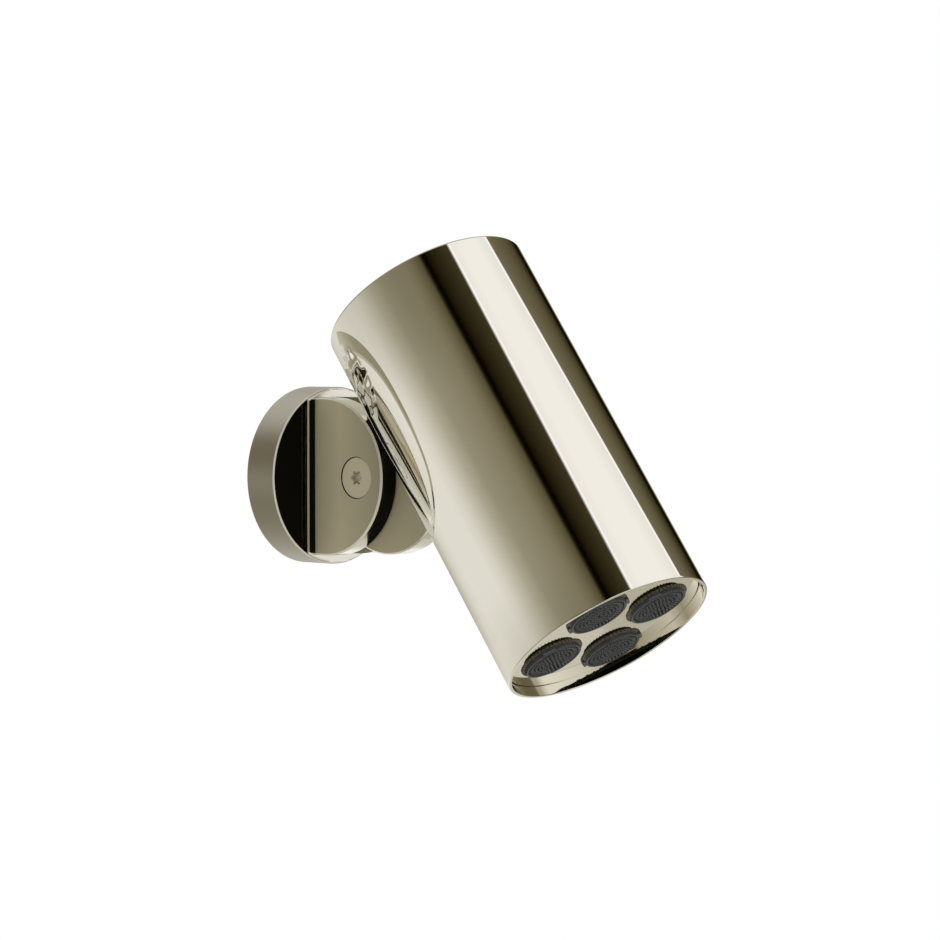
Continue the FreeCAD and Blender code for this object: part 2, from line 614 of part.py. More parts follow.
# Spray insert: hollow bayonet stem, toothed ring, collar with four raised grips, and two lugs.
# Its own frame has the plate's front at z = 0, the lugs on the X axis, and sprays towards -Z.
insert_stem_end = PLATE_THICK + SOCKET_DEEP - INSERT_SEAL_THICK
pad_floor = -PAD_SEAT
body = turned([
    (INSERT_BORE_R, insert_stem_end),
    (INSERT_STEM_R, insert_stem_end),
    (INSERT_STEM_R, 0),
    (TOOTH_RING_R, 0),
    (TOOTH_RING_R, -TOOTH_RING_THICK),
    (COLLAR_R, -TOOTH_RING_THICK),
    (COLLAR_R, -COLLAR_HEIGHT + COLLAR_CHAMFER),
    (COLLAR_R - COLLAR_CHAMFER, -COLLAR_HEIGHT),
    (NOZZLE_FACE_R, -COLLAR_HEIGHT),
    (NOZZLE_FACE_R, pad_floor),
    (INSERT_BORE_R, pad_floor),
], "Z")
tooth_half = math.pi / TOOTH_COUNT
root_half = 0.95 * tooth_half
tip_half = 0.4 * tooth_half
outline = []
for index in range(TOOTH_COUNT):
    middle = 2 * math.pi * index / TOOTH_COUNT
    for radius, turn in (
        (TOOTH_RING_R, middle - root_half),
        (TOOTH_RING_R + TOOTH_TIP, middle - tip_half),
        (TOOTH_RING_R + TOOTH_TIP, middle + tip_half),
        (TOOTH_RING_R, middle + root_half),
    ):
        outline.append(at(radius * math.cos(turn), radius * math.sin(turn), 0))
teeth = Part.Face(Part.makePolygon(outline + outline[:1])).extrude(at(0, 0, -TOOTH_RING_THICK))
teeth_core = rod(TOOTH_RING_R - TOOTH_TIP, at(0, 0, -COLLAR_HEIGHT), AXES["Z"], 2 * COLLAR_HEIGHT)
body = body.fuse(teeth.cut(teeth_core))


def sector(reach, start, spread):
    """Part of a raised band on the collar, over an angle in degrees."""
    band_height = COLLAR_HEIGHT - COLLAR_CHAMFER
    pie = Part.makeCylinder(reach, band_height, at(0, 0, -band_height), AXES["Z"], spread)
    pie.rotate(ORIGIN, AXES["Z"], start)
    core = rod((NOZZLE_FACE_R + COLLAR_R) / 2, at(0, 0, -COLLAR_HEIGHT), AXES["Z"], 2 * COLLAR_HEIGHT)
    return pie.cut(core)


for lug_middle in (0, 180):
    body = body.fuse(sector(LUG_REACH, lug_middle - LUG_SPREAD / 2, LUG_SPREAD))
    for grip_start in (GRIP_START, 180 - GRIP_START - GRIP_SPREAD):
        body = body.fuse(sector(GRIP_REACH, lug_middle + grip_start, GRIP_SPREAD))

# Nozzle pad: soft disc with rings of raised nozzles, seated in the collar
valley = -COLLAR_HEIGHT + NOZZLE_RELIEF
crest_level = -COLLAR_HEIGHT - NOZZLE_PROUD
ring_pitch = NOZZLE_FACE_R / (NOZZLE_RINGS + 1)
pad_outline = [
    (0, pad_floor),
    (NOZZLE_FACE_R, pad_floor),
    (NOZZLE_FACE_R, -COLLAR_HEIGHT + PAD_EDGE_DROP),
]
for index in range(NOZZLE_RINGS, 0, -1):
    crest = (index + 0.25) * ring_pitch
    pad_outline.append((crest + ring_pitch / 2, valley))
    pad_outline.append((crest + ring_pitch / 4, crest_level))
    pad_outline.append((crest - ring_pitch / 4, crest_level))
pad_outline.append((0.75 * ring_pitch, valley))
pad_outline.append((0, valley))
pad = turned(pad_outline, "Z")

insert_seals = []
for number, ((x, y), turn) in enumerate(zip(insert_spots, insert_turns), start=1):
    turned_body = body.copy()
    turned_body.rotate(ORIGIN, AXES["Z"], turn)
    save("spray_insert_" + str(number), hung(moved(turned_body, x, y, plate_front)))
    save("nozzle_pad_" + str(number), hung(moved(pad, x, y, plate_front)))
    seal = ring(INSERT_BORE_R, INSERT_STEM_R, insert_stem_end, PLATE_THICK + SOCKET_DEEP, "Z")
    insert_seals.append(hung(moved(seal, x, y, plate_front)))
save("insert_seals", *insert_seals)
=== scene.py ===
# %% [markdown]
# A wall-mounted shower head in polished and satin nickel.
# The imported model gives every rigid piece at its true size. This lesson dresses it: it gives each
# surface its finish, rebuilds the mirror-bright pieces with finer meshes, and sets up the studio.

# %% Load the frame
import math

import bmesh
import bpy
from mathutils import Matrix, Vector


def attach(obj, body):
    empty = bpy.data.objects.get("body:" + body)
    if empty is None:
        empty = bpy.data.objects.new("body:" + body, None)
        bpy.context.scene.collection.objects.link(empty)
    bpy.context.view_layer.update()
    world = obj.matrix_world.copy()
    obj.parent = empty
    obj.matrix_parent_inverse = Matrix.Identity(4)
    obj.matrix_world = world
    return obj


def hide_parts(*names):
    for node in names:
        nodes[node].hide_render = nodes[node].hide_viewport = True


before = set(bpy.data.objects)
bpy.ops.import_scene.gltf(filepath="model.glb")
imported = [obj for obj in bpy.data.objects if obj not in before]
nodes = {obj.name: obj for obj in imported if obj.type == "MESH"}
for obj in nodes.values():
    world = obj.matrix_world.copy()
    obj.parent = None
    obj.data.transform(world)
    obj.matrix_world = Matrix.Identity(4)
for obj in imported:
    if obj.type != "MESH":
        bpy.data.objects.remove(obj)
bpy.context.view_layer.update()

# %% [markdown]
# The driving sizes below repeat the ones of the solids, in metres. The head is tilted, so the
# places on it are worked out in an upright frame and then hung on the pivot.

# %% Sizes and the head's placing
MM = 0.001
TILT = math.radians(36.04)
PIVOT = Vector((0, -32.8 * MM, 0))
PIVOT_REACH = 51.94 * MM
PIVOT_ABOVE_MIDDLE = 31.37 * MM
SHELL_R = 35.0 * MM
SHELL_WALL = 1.2 * MM
SHELL_LENGTH = 132.6 * MM
SHELL_EDGE = 0.3 * MM
PLATE_RECESS = 3.6 * MM
LEDGE_UP = 18.0 * MM
LEDGE_WIDTH = 3.0 * MM
LEDGE_THICK = 2.0 * MM
SHELL_TOP = 2.0 * MM
SEAM_GAP = 0.2 * MM
BAR_BACK = 12.7 * MM
BAR_FRONT = 13.6 * MM
BAR_R = 29.5 * MM
CHEEK_R = 26.48 * MM
SLOT_HALF = 4.55 * MM
INSERT_SPACING = 0.553
INSERT_PATTERN_TURN = math.radians(-6.5)
COLLAR_HEIGHT = 2.0 * MM
TOOTH_RING_R = 10.2 * MM
TOOTH_TIP = 0.45 * MM
TOOTH_COUNT = 48
TOOTH_RING_THICK = 0.7 * MM
LUG_REACH = 10.7 * MM
GRIP_REACH = 9.75 * MM
COLLAR_R = 9.75 * MM
NOZZLE_FACE_R = 8.8 * MM

HANG = (
    Matrix.Translation(PIVOT)
    @ Matrix.Rotation(-TILT, 4, "X")
    @ Matrix.Translation((0, -PIVOT_REACH, -PIVOT_ABOVE_MIDDLE))
)
SPRAY_AXIS = (HANG.to_3x3() @ Vector((0, 0, -1))).normalized()
print("spray direction:", [round(v, 4) for v in SPRAY_AXIS])

# %% [markdown]
# The camera stands left of the object and almost level with it. A long lens keeps the upright
# lines parallel.

# %% Camera
CAMERA_AZIMUTH = math.radians(47.789)
CAMERA_DROP = math.radians(2.059)
CAMERA_DISTANCE = 1110.10 * MM
AIM_RIGHT = 54.346 * MM
AIM_UP = 1.507 * MM
FOCAL_PX = 3251.83
IMAGE_PX = 940
SENSOR_MM = 36.0

forward = Vector((
    math.sin(CAMERA_AZIMUTH) * math.cos(CAMERA_DROP),
    math.cos(CAMERA_AZIMUTH) * math.cos(CAMERA_DROP),
    -math.sin(CAMERA_DROP),
))
right = Vector((math.cos(CAMERA_AZIMUTH), -math.sin(CAMERA_AZIMUTH), 0))
upward = right.cross(forward)


def add_object(name, data):
    """Makes an object from its data and puts it in the scene."""
    made = bpy.data.objects.new(name, data)
    bpy.context.collection.objects.link(made)
    return made


camera_data = bpy.data.cameras.new("photo_view")
camera_data.sensor_fit = "HORIZONTAL"
camera_data.sensor_width = SENSOR_MM
camera_data.lens = FOCAL_PX / IMAGE_PX * SENSOR_MM
camera = add_object("photo_view", camera_data)
turn = Matrix((right, upward, -forward)).transposed().to_4x4()
stand = -CAMERA_DISTANCE * forward + AIM_RIGHT * right + AIM_UP * upward
camera.matrix_world = Matrix.Translation(stand) @ turn
bpy.context.scene.camera = camera
print("camera at", [round(v, 4) for v in camera.location], "lens", round(camera_data.lens, 2))

# %% [markdown]
# A world or a finish is a tree of nodes. These helpers add a node, do sums with sockets and mix
# colours, so that each tree further down reads as a few plain lines.

# %% Node helpers
def new_node(tree, kind, **settings):
    """Adds a node and sets its plain properties."""
    made = tree.nodes.new(kind)
    for name, value in settings.items():
        setattr(made, name, value)
    return made


def calculate(tree, operation, first, second=None, third=None):
    """A Math node on sockets or numbers. Returns its output."""
    made = new_node(tree, "ShaderNodeMath", operation=operation)
    for index, value in enumerate((first, second, third)):
        if value is None:
            continue
        if isinstance(value, (int, float)):
            made.inputs[index].default_value = value
        else:
            tree.links.new(value, made.inputs[index])
    return made.outputs[0]


def along(tree, vector, axis):
    """Dot product of a vector socket with a fixed direction."""
    made = new_node(tree, "ShaderNodeVectorMath", operation="DOT_PRODUCT")
    tree.links.new(vector, made.inputs[0])
    made.inputs[1].default_value = axis
    return made.outputs["Value"]


def smooth(tree, value, low, high):
    """0 below low, 1 above high, smooth between."""
    made = new_node(tree, "ShaderNodeMapRange", interpolation_type="SMOOTHSTEP")
    tree.links.new(value, made.inputs["Value"])
    made.inputs["From Min"].default_value = low
    made.inputs["From Max"].default_value = high
    return made.outputs["Result"]


# %% Colour helpers
def ramp(tree, value, stops):
    """Colour ramp from (position, colour) stops."""
    made = new_node(tree, "ShaderNodeValToRGB")
    elements = made.color_ramp.elements
    while len(elements) > 1:
        elements.remove(elements[-1])
    elements[0].position = stops[0][0]
    elements[0].color = (*stops[0][1], 1)
    for position, colour in stops[1:]:
        elements.new(position).color = (*colour, 1)
    tree.links.new(value, made.inputs["Fac"])
    return made.outputs["Color"]


def blend(tree, factor, first, second, mode="MIX"):
    """Colour mix of two sockets or colours by a factor socket or number."""
    made = new_node(tree, "ShaderNodeMix", data_type="RGBA", blend_type=mode)
    for socket, value in (
        (made.inputs["Factor"], factor), (made.inputs["A"], first), (made.inputs["B"], second),
    ):
        if isinstance(value, (int, float)):
            socket.default_value = value
        elif isinstance(value, tuple):
            socket.default_value = (*value, 1)
        else:
            tree.links.new(value, socket)
    return made.outputs["Result"]


# %% [markdown]
# Metal shows what stands round it, so the studio is the most important part of its look. A photo
# of a room could light it, but soft cards written as numbers can be moved one by one. They are
# given in polar form about the shell's axis, because a cylinder mirrors exactly one ring of
# directions round its own axis. The cards' edges lean a little where they cross that ring.

# %% Directions round the shell's axis
RING_HEIGHT = -0.361
RING_START = Vector((-0.804, -0.481, 0.350))
RING_QUARTER = Vector((0.595, -0.650, 0.473))
EDGE_LEANS = ((20, 45, 35), (50, 100, -145), (116, 136, 110))
LEAN_LIMIT = 0.06

world = bpy.data.worlds.new("studio")
bpy.context.scene.world = world
world.use_nodes = True
sky = world.node_tree
sky.nodes.clear()
direction = new_node(sky, "ShaderNodeTexCoord").outputs["Generated"]
height = along(sky, direction, SPRAY_AXIS)
off_ring = calculate(sky, "SUBTRACT", height, RING_HEIGHT)
angle = calculate(sky, "ARCTAN2", along(sky, direction, RING_QUARTER), along(sky, direction, RING_START))
lean = 0.0
for low, high, more in EDGE_LEANS:
    share = smooth(sky, angle, math.radians(low), math.radians(high))
    lean = calculate(sky, "MULTIPLY_ADD", share, math.radians(more), lean)
near_off = calculate(sky, "MAXIMUM", calculate(sky, "MINIMUM", off_ring, LEAN_LIMIT), -LEAN_LIMIT)
leaned = calculate(sky, "MULTIPLY_ADD", near_off, lean, angle)
place = calculate(sky, "MULTIPLY_ADD", leaned, 1 / (2 * math.pi), 0.5)
print("mirrored ring at height", RING_HEIGHT, "along the spray direction")

# %% [markdown]
# Each row of cards is a list of angles and levels. The row on the ring gives the stripes on the
# cylinder. The others lie beside, above and below it, and show in the flat and the turned pieces.

# %% Rows of cards
def warm(level):
    """Warm studio grey of a given brightness: dark tones lean to olive, pale ones are almost neutral."""
    if level <= 0:
        return (0, 0, 0)
    return (level, level ** 1.065, level ** 1.35)


def card_row(stops):
    """Colour round the shell's axis from (degrees, level) stops."""
    return ramp(sky, place, [((degrees + 180) / 360, warm(level)) for degrees, level in stops])


RING_CARDS = (
    (-180, 0.55), (-165, 0.48), (-150, 0.62), (-138, 0.77), (-120, 0.87), (-84, 0.87), (-72, 0.79),
    (-48, 0.47), (-36, 0.35), (-6, 0.255), (0, 0.215), (6, 0.165), (13, 0.10), (16, 0.01), (19, 0.0),
    (24, 0.0123), (46.2, 0.053), (46.7, 1.22), (48.6, 1.22), (49.3, 0.97), (60, 1.03), (84, 1.03),
    (103.2, 0.93), (103.9, 1.16), (105.5, 1.16), (106.1, 0.185), (126, 0.125), (144, 0.042),
    (150, 0.008), (159, 0.004), (165, 0.25), (172, 0.80),
)
on_ring = card_row(RING_CARDS)
aside = card_row(((-180, 1.0), (-150, 1.0), (-120, 0.58), (-90, 0.26), (-60, 0.24), (-20, 0.12)))
above = card_row((
    (-180, 0.90), (-150, 0.60), (-120, 0.32), (-20, 0.28), (47, 0.5), (105, 0.55), (130, 0.50),
    (166, 0.55), (176, 0.92),
))
below = card_row((
    (-180, 0.62), (-150, 0.90), (-124, 0.64), (-97, 0.38), (-74, 0.70), (-60, 0.62), (-29, 0.43),
    (0, 0.55), (76, 0.94), (87, 0.94), (98, 0.47), (106, 0.17), (130, 0.16), (146, 0.23), (166, 0.50),
))
print("cards on the ring:", len(RING_CARDS))

# %% [markdown]
# The rows are laid over each other by their distance from the ring. Left of the shell the row on
# the ring is a narrow strip; right of it the cards are tall. Three single cards lie on top: a pale
# one and a dark low one at the right, and a black one at the left. The camera sees plain white,
# matt surfaces get an even light, and only shiny ones see the cards.

# %% World
STRIP_EDGES = (
    (0.20, 0.0), (0.36, 0.35), (0.45, 0.76), (0.47, 1.0), (0.53, 1.0), (0.555, 0.62), (0.66, 0.25),
    (0.82, 0.0),
)
strip = ramp(sky, calculate(sky, "ADD", off_ring, 0.5), [(at, (share,) * 3) for at, share in STRIP_EDGES])
right_side = smooth(sky, angle, math.radians(-25), math.radians(15))
spread = blend(sky, right_side, strip, (1.0, 1.0, 1.0))
beside = blend(sky, spread, aside, on_ring)
over = blend(sky, smooth(sky, height, -0.84, -0.95), above, warm(1.0))
with_above = blend(sky, smooth(sky, off_ring, -0.07, -0.16), beside, over)
cards = blend(sky, smooth(sky, height, 0.0, 0.22), with_above, below)
for toward, edge, full, colour in (
    ((0.741, -0.671, -0.036), 0.990, 0.996, warm(0.92)),
    ((0.742, -0.42, -0.522), 0.96, 0.985, warm(0.035)),
    ((-0.74, -0.67, -0.04), 0.91, 0.95, (0, 0, 0)),
):
    cards = blend(sky, smooth(sky, along(sky, direction, toward), edge, full), cards, colour)

path = new_node(sky, "ShaderNodeLightPath")
matt_light = blend(sky, path.outputs["Is Glossy Ray"], (0.80, 0.80, 0.80), cards)
seen = blend(sky, path.outputs["Is Camera Ray"], matt_light, (1.0, 1.0, 1.0))
background = new_node(sky, "ShaderNodeBackground")
sky.links.new(seen, background.inputs["Color"])
world_out = new_node(sky, "ShaderNodeOutputWorld")
sky.links.new(background.outputs[0], world_out.inputs["Surface"])
print("studio world: nodes", len(sky.nodes))

# %% [markdown]
# A pale round floor lies below the object. It shows white to the camera and lights matt pieces
# from below. Mirrors leave it out, because the world already gives them the studio.

# %% Floor
FLOOR_Z = -0.30
FLOOR_R = 2.5


def finished_mesh(name, shape):
    """Turns a bmesh into a mesh and frees it."""
    mesh = bpy.data.meshes.new(name)
    shape.to_mesh(mesh)
    shape.free()
    return mesh


shape = bmesh.new()
floor_place = Matrix.Translation((0, 0, FLOOR_Z))
bmesh.ops.create_circle(shape, cap_ends=True, segments=96, radius=FLOOR_R, matrix=floor_place)
floor = add_object("floor", finished_mesh("floor", shape))
floor_paint = bpy.data.materials.new("pale_floor")
floor_paint.use_nodes = True
tree = floor_paint.node_tree
tree.nodes.clear()
path = new_node(tree, "ShaderNodeLightPath")
tone = blend(tree, path.outputs["Is Camera Ray"], warm(0.80), (1.0, 1.0, 1.0))
glow = new_node(tree, "ShaderNodeEmission")
tree.links.new(tone, glow.inputs["Color"])
out = new_node(tree, "ShaderNodeOutputMaterial")
tree.links.new(glow.outputs[0], out.inputs["Surface"])
floor.data.materials.append(floor_paint)
floor.visible_glossy = False
print("floor at", FLOOR_Z, "m")

# %% [markdown]
# One soft lamp at the left front, about level with the object, models the dark inserts a little.
# Mirrors leave it out as well.

# %% Lamp
LAMP_PLACE = Vector((-0.6, -1.0, -0.1))
LAMP_AIM = Vector((0, -0.1, -0.05))
lamp_data = bpy.data.lights.new("soft_lamp", "AREA")
lamp_data.shape = "DISK"
lamp_data.size = 0.6
lamp_data.energy = 4.0
lamp = add_object("soft_lamp", lamp_data)
lamp.location = LAMP_PLACE
lamp.rotation_euler = (LAMP_AIM - LAMP_PLACE).to_track_quat("-Z", "Y").to_euler()
lamp.visible_glossy = False
print("lamp:", lamp_data.energy, "W")

# %% [markdown]
# Metal finishes share one effect: very fine marks that change the roughness and tilt the surface
# a little. It is a node group, so each finish only sets its own scale and strength.

# %% Shared effect: fine marks
BROAD_SCALE = 60.0
MARK_DEPTH = 0.02 * MM


def make_fine_marks():
    """Group that reads Object coordinates and puts out a roughness and a normal."""
    group = bpy.data.node_groups.new("fine_marks", "ShaderNodeTree")
    for name, kind, default in (
        ("Scale", "NodeSocketFloat", 900.0),
        ("Stretch", "NodeSocketVector", (1.0, 1.0, 1.0)),
        ("Base Roughness", "NodeSocketFloat", 0.1),
        ("Spread", "NodeSocketFloat", 0.05),
        ("Relief", "NodeSocketFloat", 0.05),
    ):
        socket = group.interface.new_socket(name, in_out="INPUT", socket_type=kind)
        socket.default_value = default
    group.interface.new_socket("Roughness", in_out="OUTPUT", socket_type="NodeSocketFloat")
    group.interface.new_socket("Normal", in_out="OUTPUT", socket_type="NodeSocketVector")
    start = new_node(group, "NodeGroupInput")
    end = new_node(group, "NodeGroupOutput")
    spot = new_node(group, "ShaderNodeTexCoord").outputs["Object"]
    scaled = new_node(group, "ShaderNodeVectorMath", operation="MULTIPLY")
    group.links.new(spot, scaled.inputs[0])
    group.links.new(start.outputs["Stretch"], scaled.inputs[1])
    fine = new_node(group, "ShaderNodeTexNoise")
    fine.inputs["Detail"].default_value = 3.0
    group.links.new(scaled.outputs[0], fine.inputs["Vector"])
    group.links.new(start.outputs["Scale"], fine.inputs["Scale"])
    broad = new_node(group, "ShaderNodeTexNoise")
    broad.inputs["Scale"].default_value = BROAD_SCALE
    broad.inputs["Detail"].default_value = 2.0
    group.links.new(spot, broad.inputs["Vector"])
    half_fine = calculate(group, "MULTIPLY", fine.outputs["Fac"], 0.5)
    mixed = calculate(group, "MULTIPLY_ADD", broad.outputs["Fac"], 0.5, half_fine)
    centred = calculate(group, "SUBTRACT", mixed, 0.5)
    spread, base = start.outputs["Spread"], start.outputs["Base Roughness"]
    rough = calculate(group, "MULTIPLY_ADD", centred, spread, base)
    bump = new_node(group, "ShaderNodeBump")
    bump.inputs["Distance"].default_value = MARK_DEPTH
    group.links.new(start.outputs["Relief"], bump.inputs["Strength"])
    group.links.new(fine.outputs["Fac"], bump.inputs["Height"])
    group.links.new(rough, end.inputs["Roughness"])
    group.links.new(bump.outputs["Normal"], end.inputs["Normal"])
    return group


fine_marks = make_fine_marks()
print("group sockets:", [item.name for item in fine_marks.interface.items_tree])

# %% Start of a material
def add_marks(tree, shader, scale, base, spread, relief, stretch=(1, 1, 1)):
    """Places the fine marks in a material and links them. Returns the group node."""
    made = new_node(tree, "ShaderNodeGroup", node_tree=fine_marks)
    made.inputs["Scale"].default_value = scale
    made.inputs["Stretch"].default_value = stretch
    made.inputs["Base Roughness"].default_value = base
    made.inputs["Spread"].default_value = spread
    made.inputs["Relief"].default_value = relief
    tree.links.new(made.outputs["Roughness"], shader.inputs["Roughness"])
    tree.links.new(made.outputs["Normal"], shader.inputs["Normal"])
    return made


def start_material(name):
    """New material with an empty tree, a Principled BSDF and its output."""
    material = bpy.data.materials.new(name)
    material.use_nodes = True
    tree = material.node_tree
    tree.nodes.clear()
    shader = new_node(tree, "ShaderNodeBsdfPrincipled")
    out = new_node(tree, "ShaderNodeOutputMaterial")
    tree.links.new(shader.outputs[0], out.inputs["Surface"])
    return material, tree, shader


# %% [markdown]
# Polished nickel is a mirror with a faint warm tint. The turned edges are a little softer, and
# the flange's band is brushed. Brass and steel are for the pieces behind the flange and inside.

# %% Metal finishes
NICKEL = (0.84, 0.81, 0.73, 1)


def metal(name, colour, scale, base, spread, relief, stretch=(1, 1, 1)):
    """Metal finish with fine marks."""
    material, tree, shader = start_material(name)
    shader.inputs["Base Color"].default_value = colour
    shader.inputs["Metallic"].default_value = 1.0
    add_marks(tree, shader, scale, base, spread, relief, stretch)
    return material


polished_nickel = metal("polished_nickel", NICKEL, 1500.0, 0.03, 0.02, 0.01)
bright_nickel = metal("bright_nickel", NICKEL, 1500.0, 0.14, 0.06, 0.03)
plate_nickel = metal("plate_nickel", NICKEL, 1500.0, 0.05, 0.03, 0.02)
band_nickel = metal("band_nickel", (0.41, 0.385, 0.315, 1), 1200.0, 0.40, 0.10, 0.08)
turned_brass = metal("turned_brass", (0.78, 0.60, 0.30, 1), 1200.0, 0.24, 0.10, 0.15, (1, 6, 1))
plain_steel = metal("plain_steel", (0.62, 0.61, 0.60, 1), 1500.0, 0.22, 0.10, 0.10)
print("materials:", len(bpy.data.materials))

# %% [markdown]
# Satin nickel has a grain that spreads the light. Its colour in mirrors is painted: a mirror close
# by shows it dark and a mirror further off shows it pale, so its tone changes with the length of a
# mirrored ray. Its own colour carries painted shade from the wall to the front. The Light Path node
# stays in the material, because the export can't read it inside a group.

# %% Satin finishes
SATIN = (0.385, 0.348, 0.234)
PAINTED_HIGHLIGHT_TONE = (0.58, 0.56, 0.47)
# Painted reflections: the dark tone satin shows in a close mirror, and the pale one in mirrors further off.
PAINTED_MIRROR_DARK = (0.004, 0.003, 0.001)
PAINTED_MIRROR_PALE = (0.80, 0.79, 0.72)
PAINTED_SHADE_DEPTH = 50 * MM


def mirrored_within(tree, path, near, far):
    """Share of a mirrored ray by its length: 1 up to near, 0 from far on. Other rays give 0."""
    short = smooth(tree, path.outputs["Ray Length"], far, near)
    return calculate(tree, "MULTIPLY", path.outputs["Is Glossy Ray"], short)


def satin(name, colour, wall_shade, front_shade, base, mirror_reach, painted_mirror_tone):
    """Satin metal with painted shade from the wall to the front, and a painted tone in close mirrors."""
    material, tree, shader = start_material(name)
    add_marks(tree, shader, 1800.0, base, 0.10, 0.08)
    shader.inputs["Metallic"].default_value = 0.2
    shader.inputs["Specular IOR Level"].default_value = 0.06
    spot = new_node(tree, "ShaderNodeTexCoord").outputs["Object"]
    # Painted shade: below a level of 1 the colour darkens near the wall, is full 25 mm from it and darkens
    # again towards the front.
    forth = calculate(tree, "MULTIPLY", along(tree, spot, (0, -1, 0)), 1 / PAINTED_SHADE_DEPTH)
    level = ramp(tree, forth, [
        (0.265, (wall_shade,) * 3), (0.30, (wall_shade ** 0.3,) * 3),
        (0.50, (1.0,) * 3), (0.88, (front_shade,) * 3),
    ])
    toned = blend(tree, 1.0, colour, level, "MULTIPLY")
    # Painted reflection: mirrors further off see the pale tone, close ones the given painted tone.
    path = new_node(tree, "ShaderNodeLightPath")
    mirrored = blend(tree, path.outputs["Is Glossy Ray"], toned, PAINTED_MIRROR_PALE)
    close = mirrored_within(tree, path, mirror_reach, 1.15 * mirror_reach)
    tree.links.new(blend(tree, close, mirrored, painted_mirror_tone), shader.inputs["Base Color"])
    return material


# Fork and tongue carry painted shade near the wall and towards the front, and all four show painted tones
# in mirrors.
fork_satin = satin("fork_satin", SATIN, 0.62, 0.68, 0.5, 32 * MM, PAINTED_MIRROR_DARK)
tongue_satin = satin("tongue_satin", SATIN, 0.9, 0.9, 0.5, 11 * MM, PAINTED_MIRROR_DARK)
screw_satin = satin("screw_satin", (0.44, 0.40, 0.28), 1.0, 1.0, 0.5, 32 * MM, PAINTED_MIRROR_DARK)
# The bevels of fork and flange get a pale colour that paints their highlight, also in close mirrors.
painted_highlight_edge = satin("painted_highlight_edge", PAINTED_HIGHLIGHT_TONE, 1.0, 1.0, 0.45, 4 * MM, PAINTED_HIGHLIGHT_TONE)
print("materials:", len(bpy.data.materials))

# %% [markdown]
# Plastic and rubber have a skin that is mottled a little. Their colour in mirrors is painted: a
# polished wall close by shows them black, and right at the plate, where they meet it, a painted pale
# reflection shows instead.

# %% Plastic and rubber finishes
CLOSE_MIRROR = (30 * MM, 40 * MM)
TOUCHING_MIRROR = (5 * MM, 6.5 * MM)
PAINTED_PALE_REFLECTION = (0.62, 0.60, 0.52)


def moulded(name, colour, base, spread, relief, specular):
    """Moulded plastic or rubber with a fine mottled skin and painted black and pale reflections."""
    material, tree, shader = start_material(name)
    shader.inputs["Specular IOR Level"].default_value = specular
    add_marks(tree, shader, 2600.0, base, spread, relief)
    noise = new_node(tree, "ShaderNodeTexNoise")
    noise.inputs["Scale"].default_value = 400.0
    tree.links.new(new_node(tree, "ShaderNodeTexCoord").outputs["Object"], noise.inputs["Vector"])
    shade = ramp(tree, noise.outputs["Fac"], [
        (0.3, tuple(0.85 * v for v in colour)),
        (0.7, tuple(1.15 * v for v in colour)),
    ])
    # Painted reflections: black in mirrors close by, pale in mirrors right at the plate.
    path = new_node(tree, "ShaderNodeLightPath")
    painted_black_reflection = blend(tree, mirrored_within(tree, path, *CLOSE_MIRROR), shade, (0, 0, 0))
    toned = blend(tree, mirrored_within(tree, path, *TOUCHING_MIRROR), painted_black_reflection, PAINTED_PALE_REFLECTION)
    tree.links.new(toned, shader.inputs["Base Color"])
    return material


charcoal_plastic = moulded("charcoal_plastic", (0.032, 0.034, 0.038), 0.40, 0.15, 0.3, 0.35)
charcoal_rubber = moulded("charcoal_rubber", (0.040, 0.043, 0.049), 0.36, 0.15, 0.4, 0.50)
# The dish's near-black colour is painted shade between the nozzles, which are the same rubber.
dish_painted_shade = moulded("dish_painted_shade", (0.007, 0.007, 0.008), 0.60, 0.15, 0.4, 0.10)
# The toothed ring is dark plastic whose olive tint is a painted reflection of shaded nickel.
olive_painted_reflection = moulded("olive_painted_reflection", (0.075, 0.066, 0.036), 0.45, 0.15, 0.3, 0.30)
seal_rubber = moulded("seal_rubber", (0.02, 0.02, 0.02), 0.6, 0.15, 0.3, 0.3)
hose_rubber = moulded("hose_rubber", (0.05, 0.05, 0.05), 0.6, 0.15, 0.3, 0.3)
pale_plastic = moulded("pale_plastic", (0.75, 0.74, 0.70), 0.45, 0.10, 0.2, 0.5)
inner_plastic = moulded("inner_plastic", (0.12, 0.12, 0.13), 0.5, 0.10, 0.2, 0.5)
print("materials:", len(bpy.data.materials))

# %% [markdown]
# Four helpers make the finer pieces. The first turns a profile about the upright axis, and the
# last gives such a profile a rounded corner. Between them, one gives a mesh soft shading with
# crisp edges, and one hands a finished mesh over to its body.

# %% Mesh helpers
def lathe(profile, segments=256):
    """Turns (radius, station) corners about the upright axis. Returns a bmesh."""
    shape = bmesh.new()
    rings = []
    for radius, station in profile:
        if radius == 0:
            rings.append([shape.verts.new((0, 0, station))])
            continue
        ring = []
        for index in range(segments):
            turn = 2 * math.pi * index / segments
            ring.append(shape.verts.new((radius * math.cos(turn), radius * math.sin(turn), station)))
        rings.append(ring)
    for first, second in zip(rings, rings[1:]):
        for index in range(segments):
            corners = [
                first[index % len(first)], first[(index + 1) % len(first)],
                second[(index + 1) % len(second)], second[index % len(second)],
            ]
            corners = list(dict.fromkeys(corners))
            if len(corners) > 2:
                shape.faces.new(corners)
    bmesh.ops.recalc_face_normals(shape, faces=shape.faces)
    return shape


def soften(mesh, degrees, flat_sides=False):
    """Smooth shading with sharp edges above an angle. Faces square to an axis may stay flat."""
    mesh.shade_smooth()
    if flat_sides:
        for face in mesh.polygons:
            face.use_smooth = not (face.area > 0 and max(abs(v) for v in face.normal) > 0.9999)
    mesh.set_sharp_from_angle(angle=math.radians(degrees))


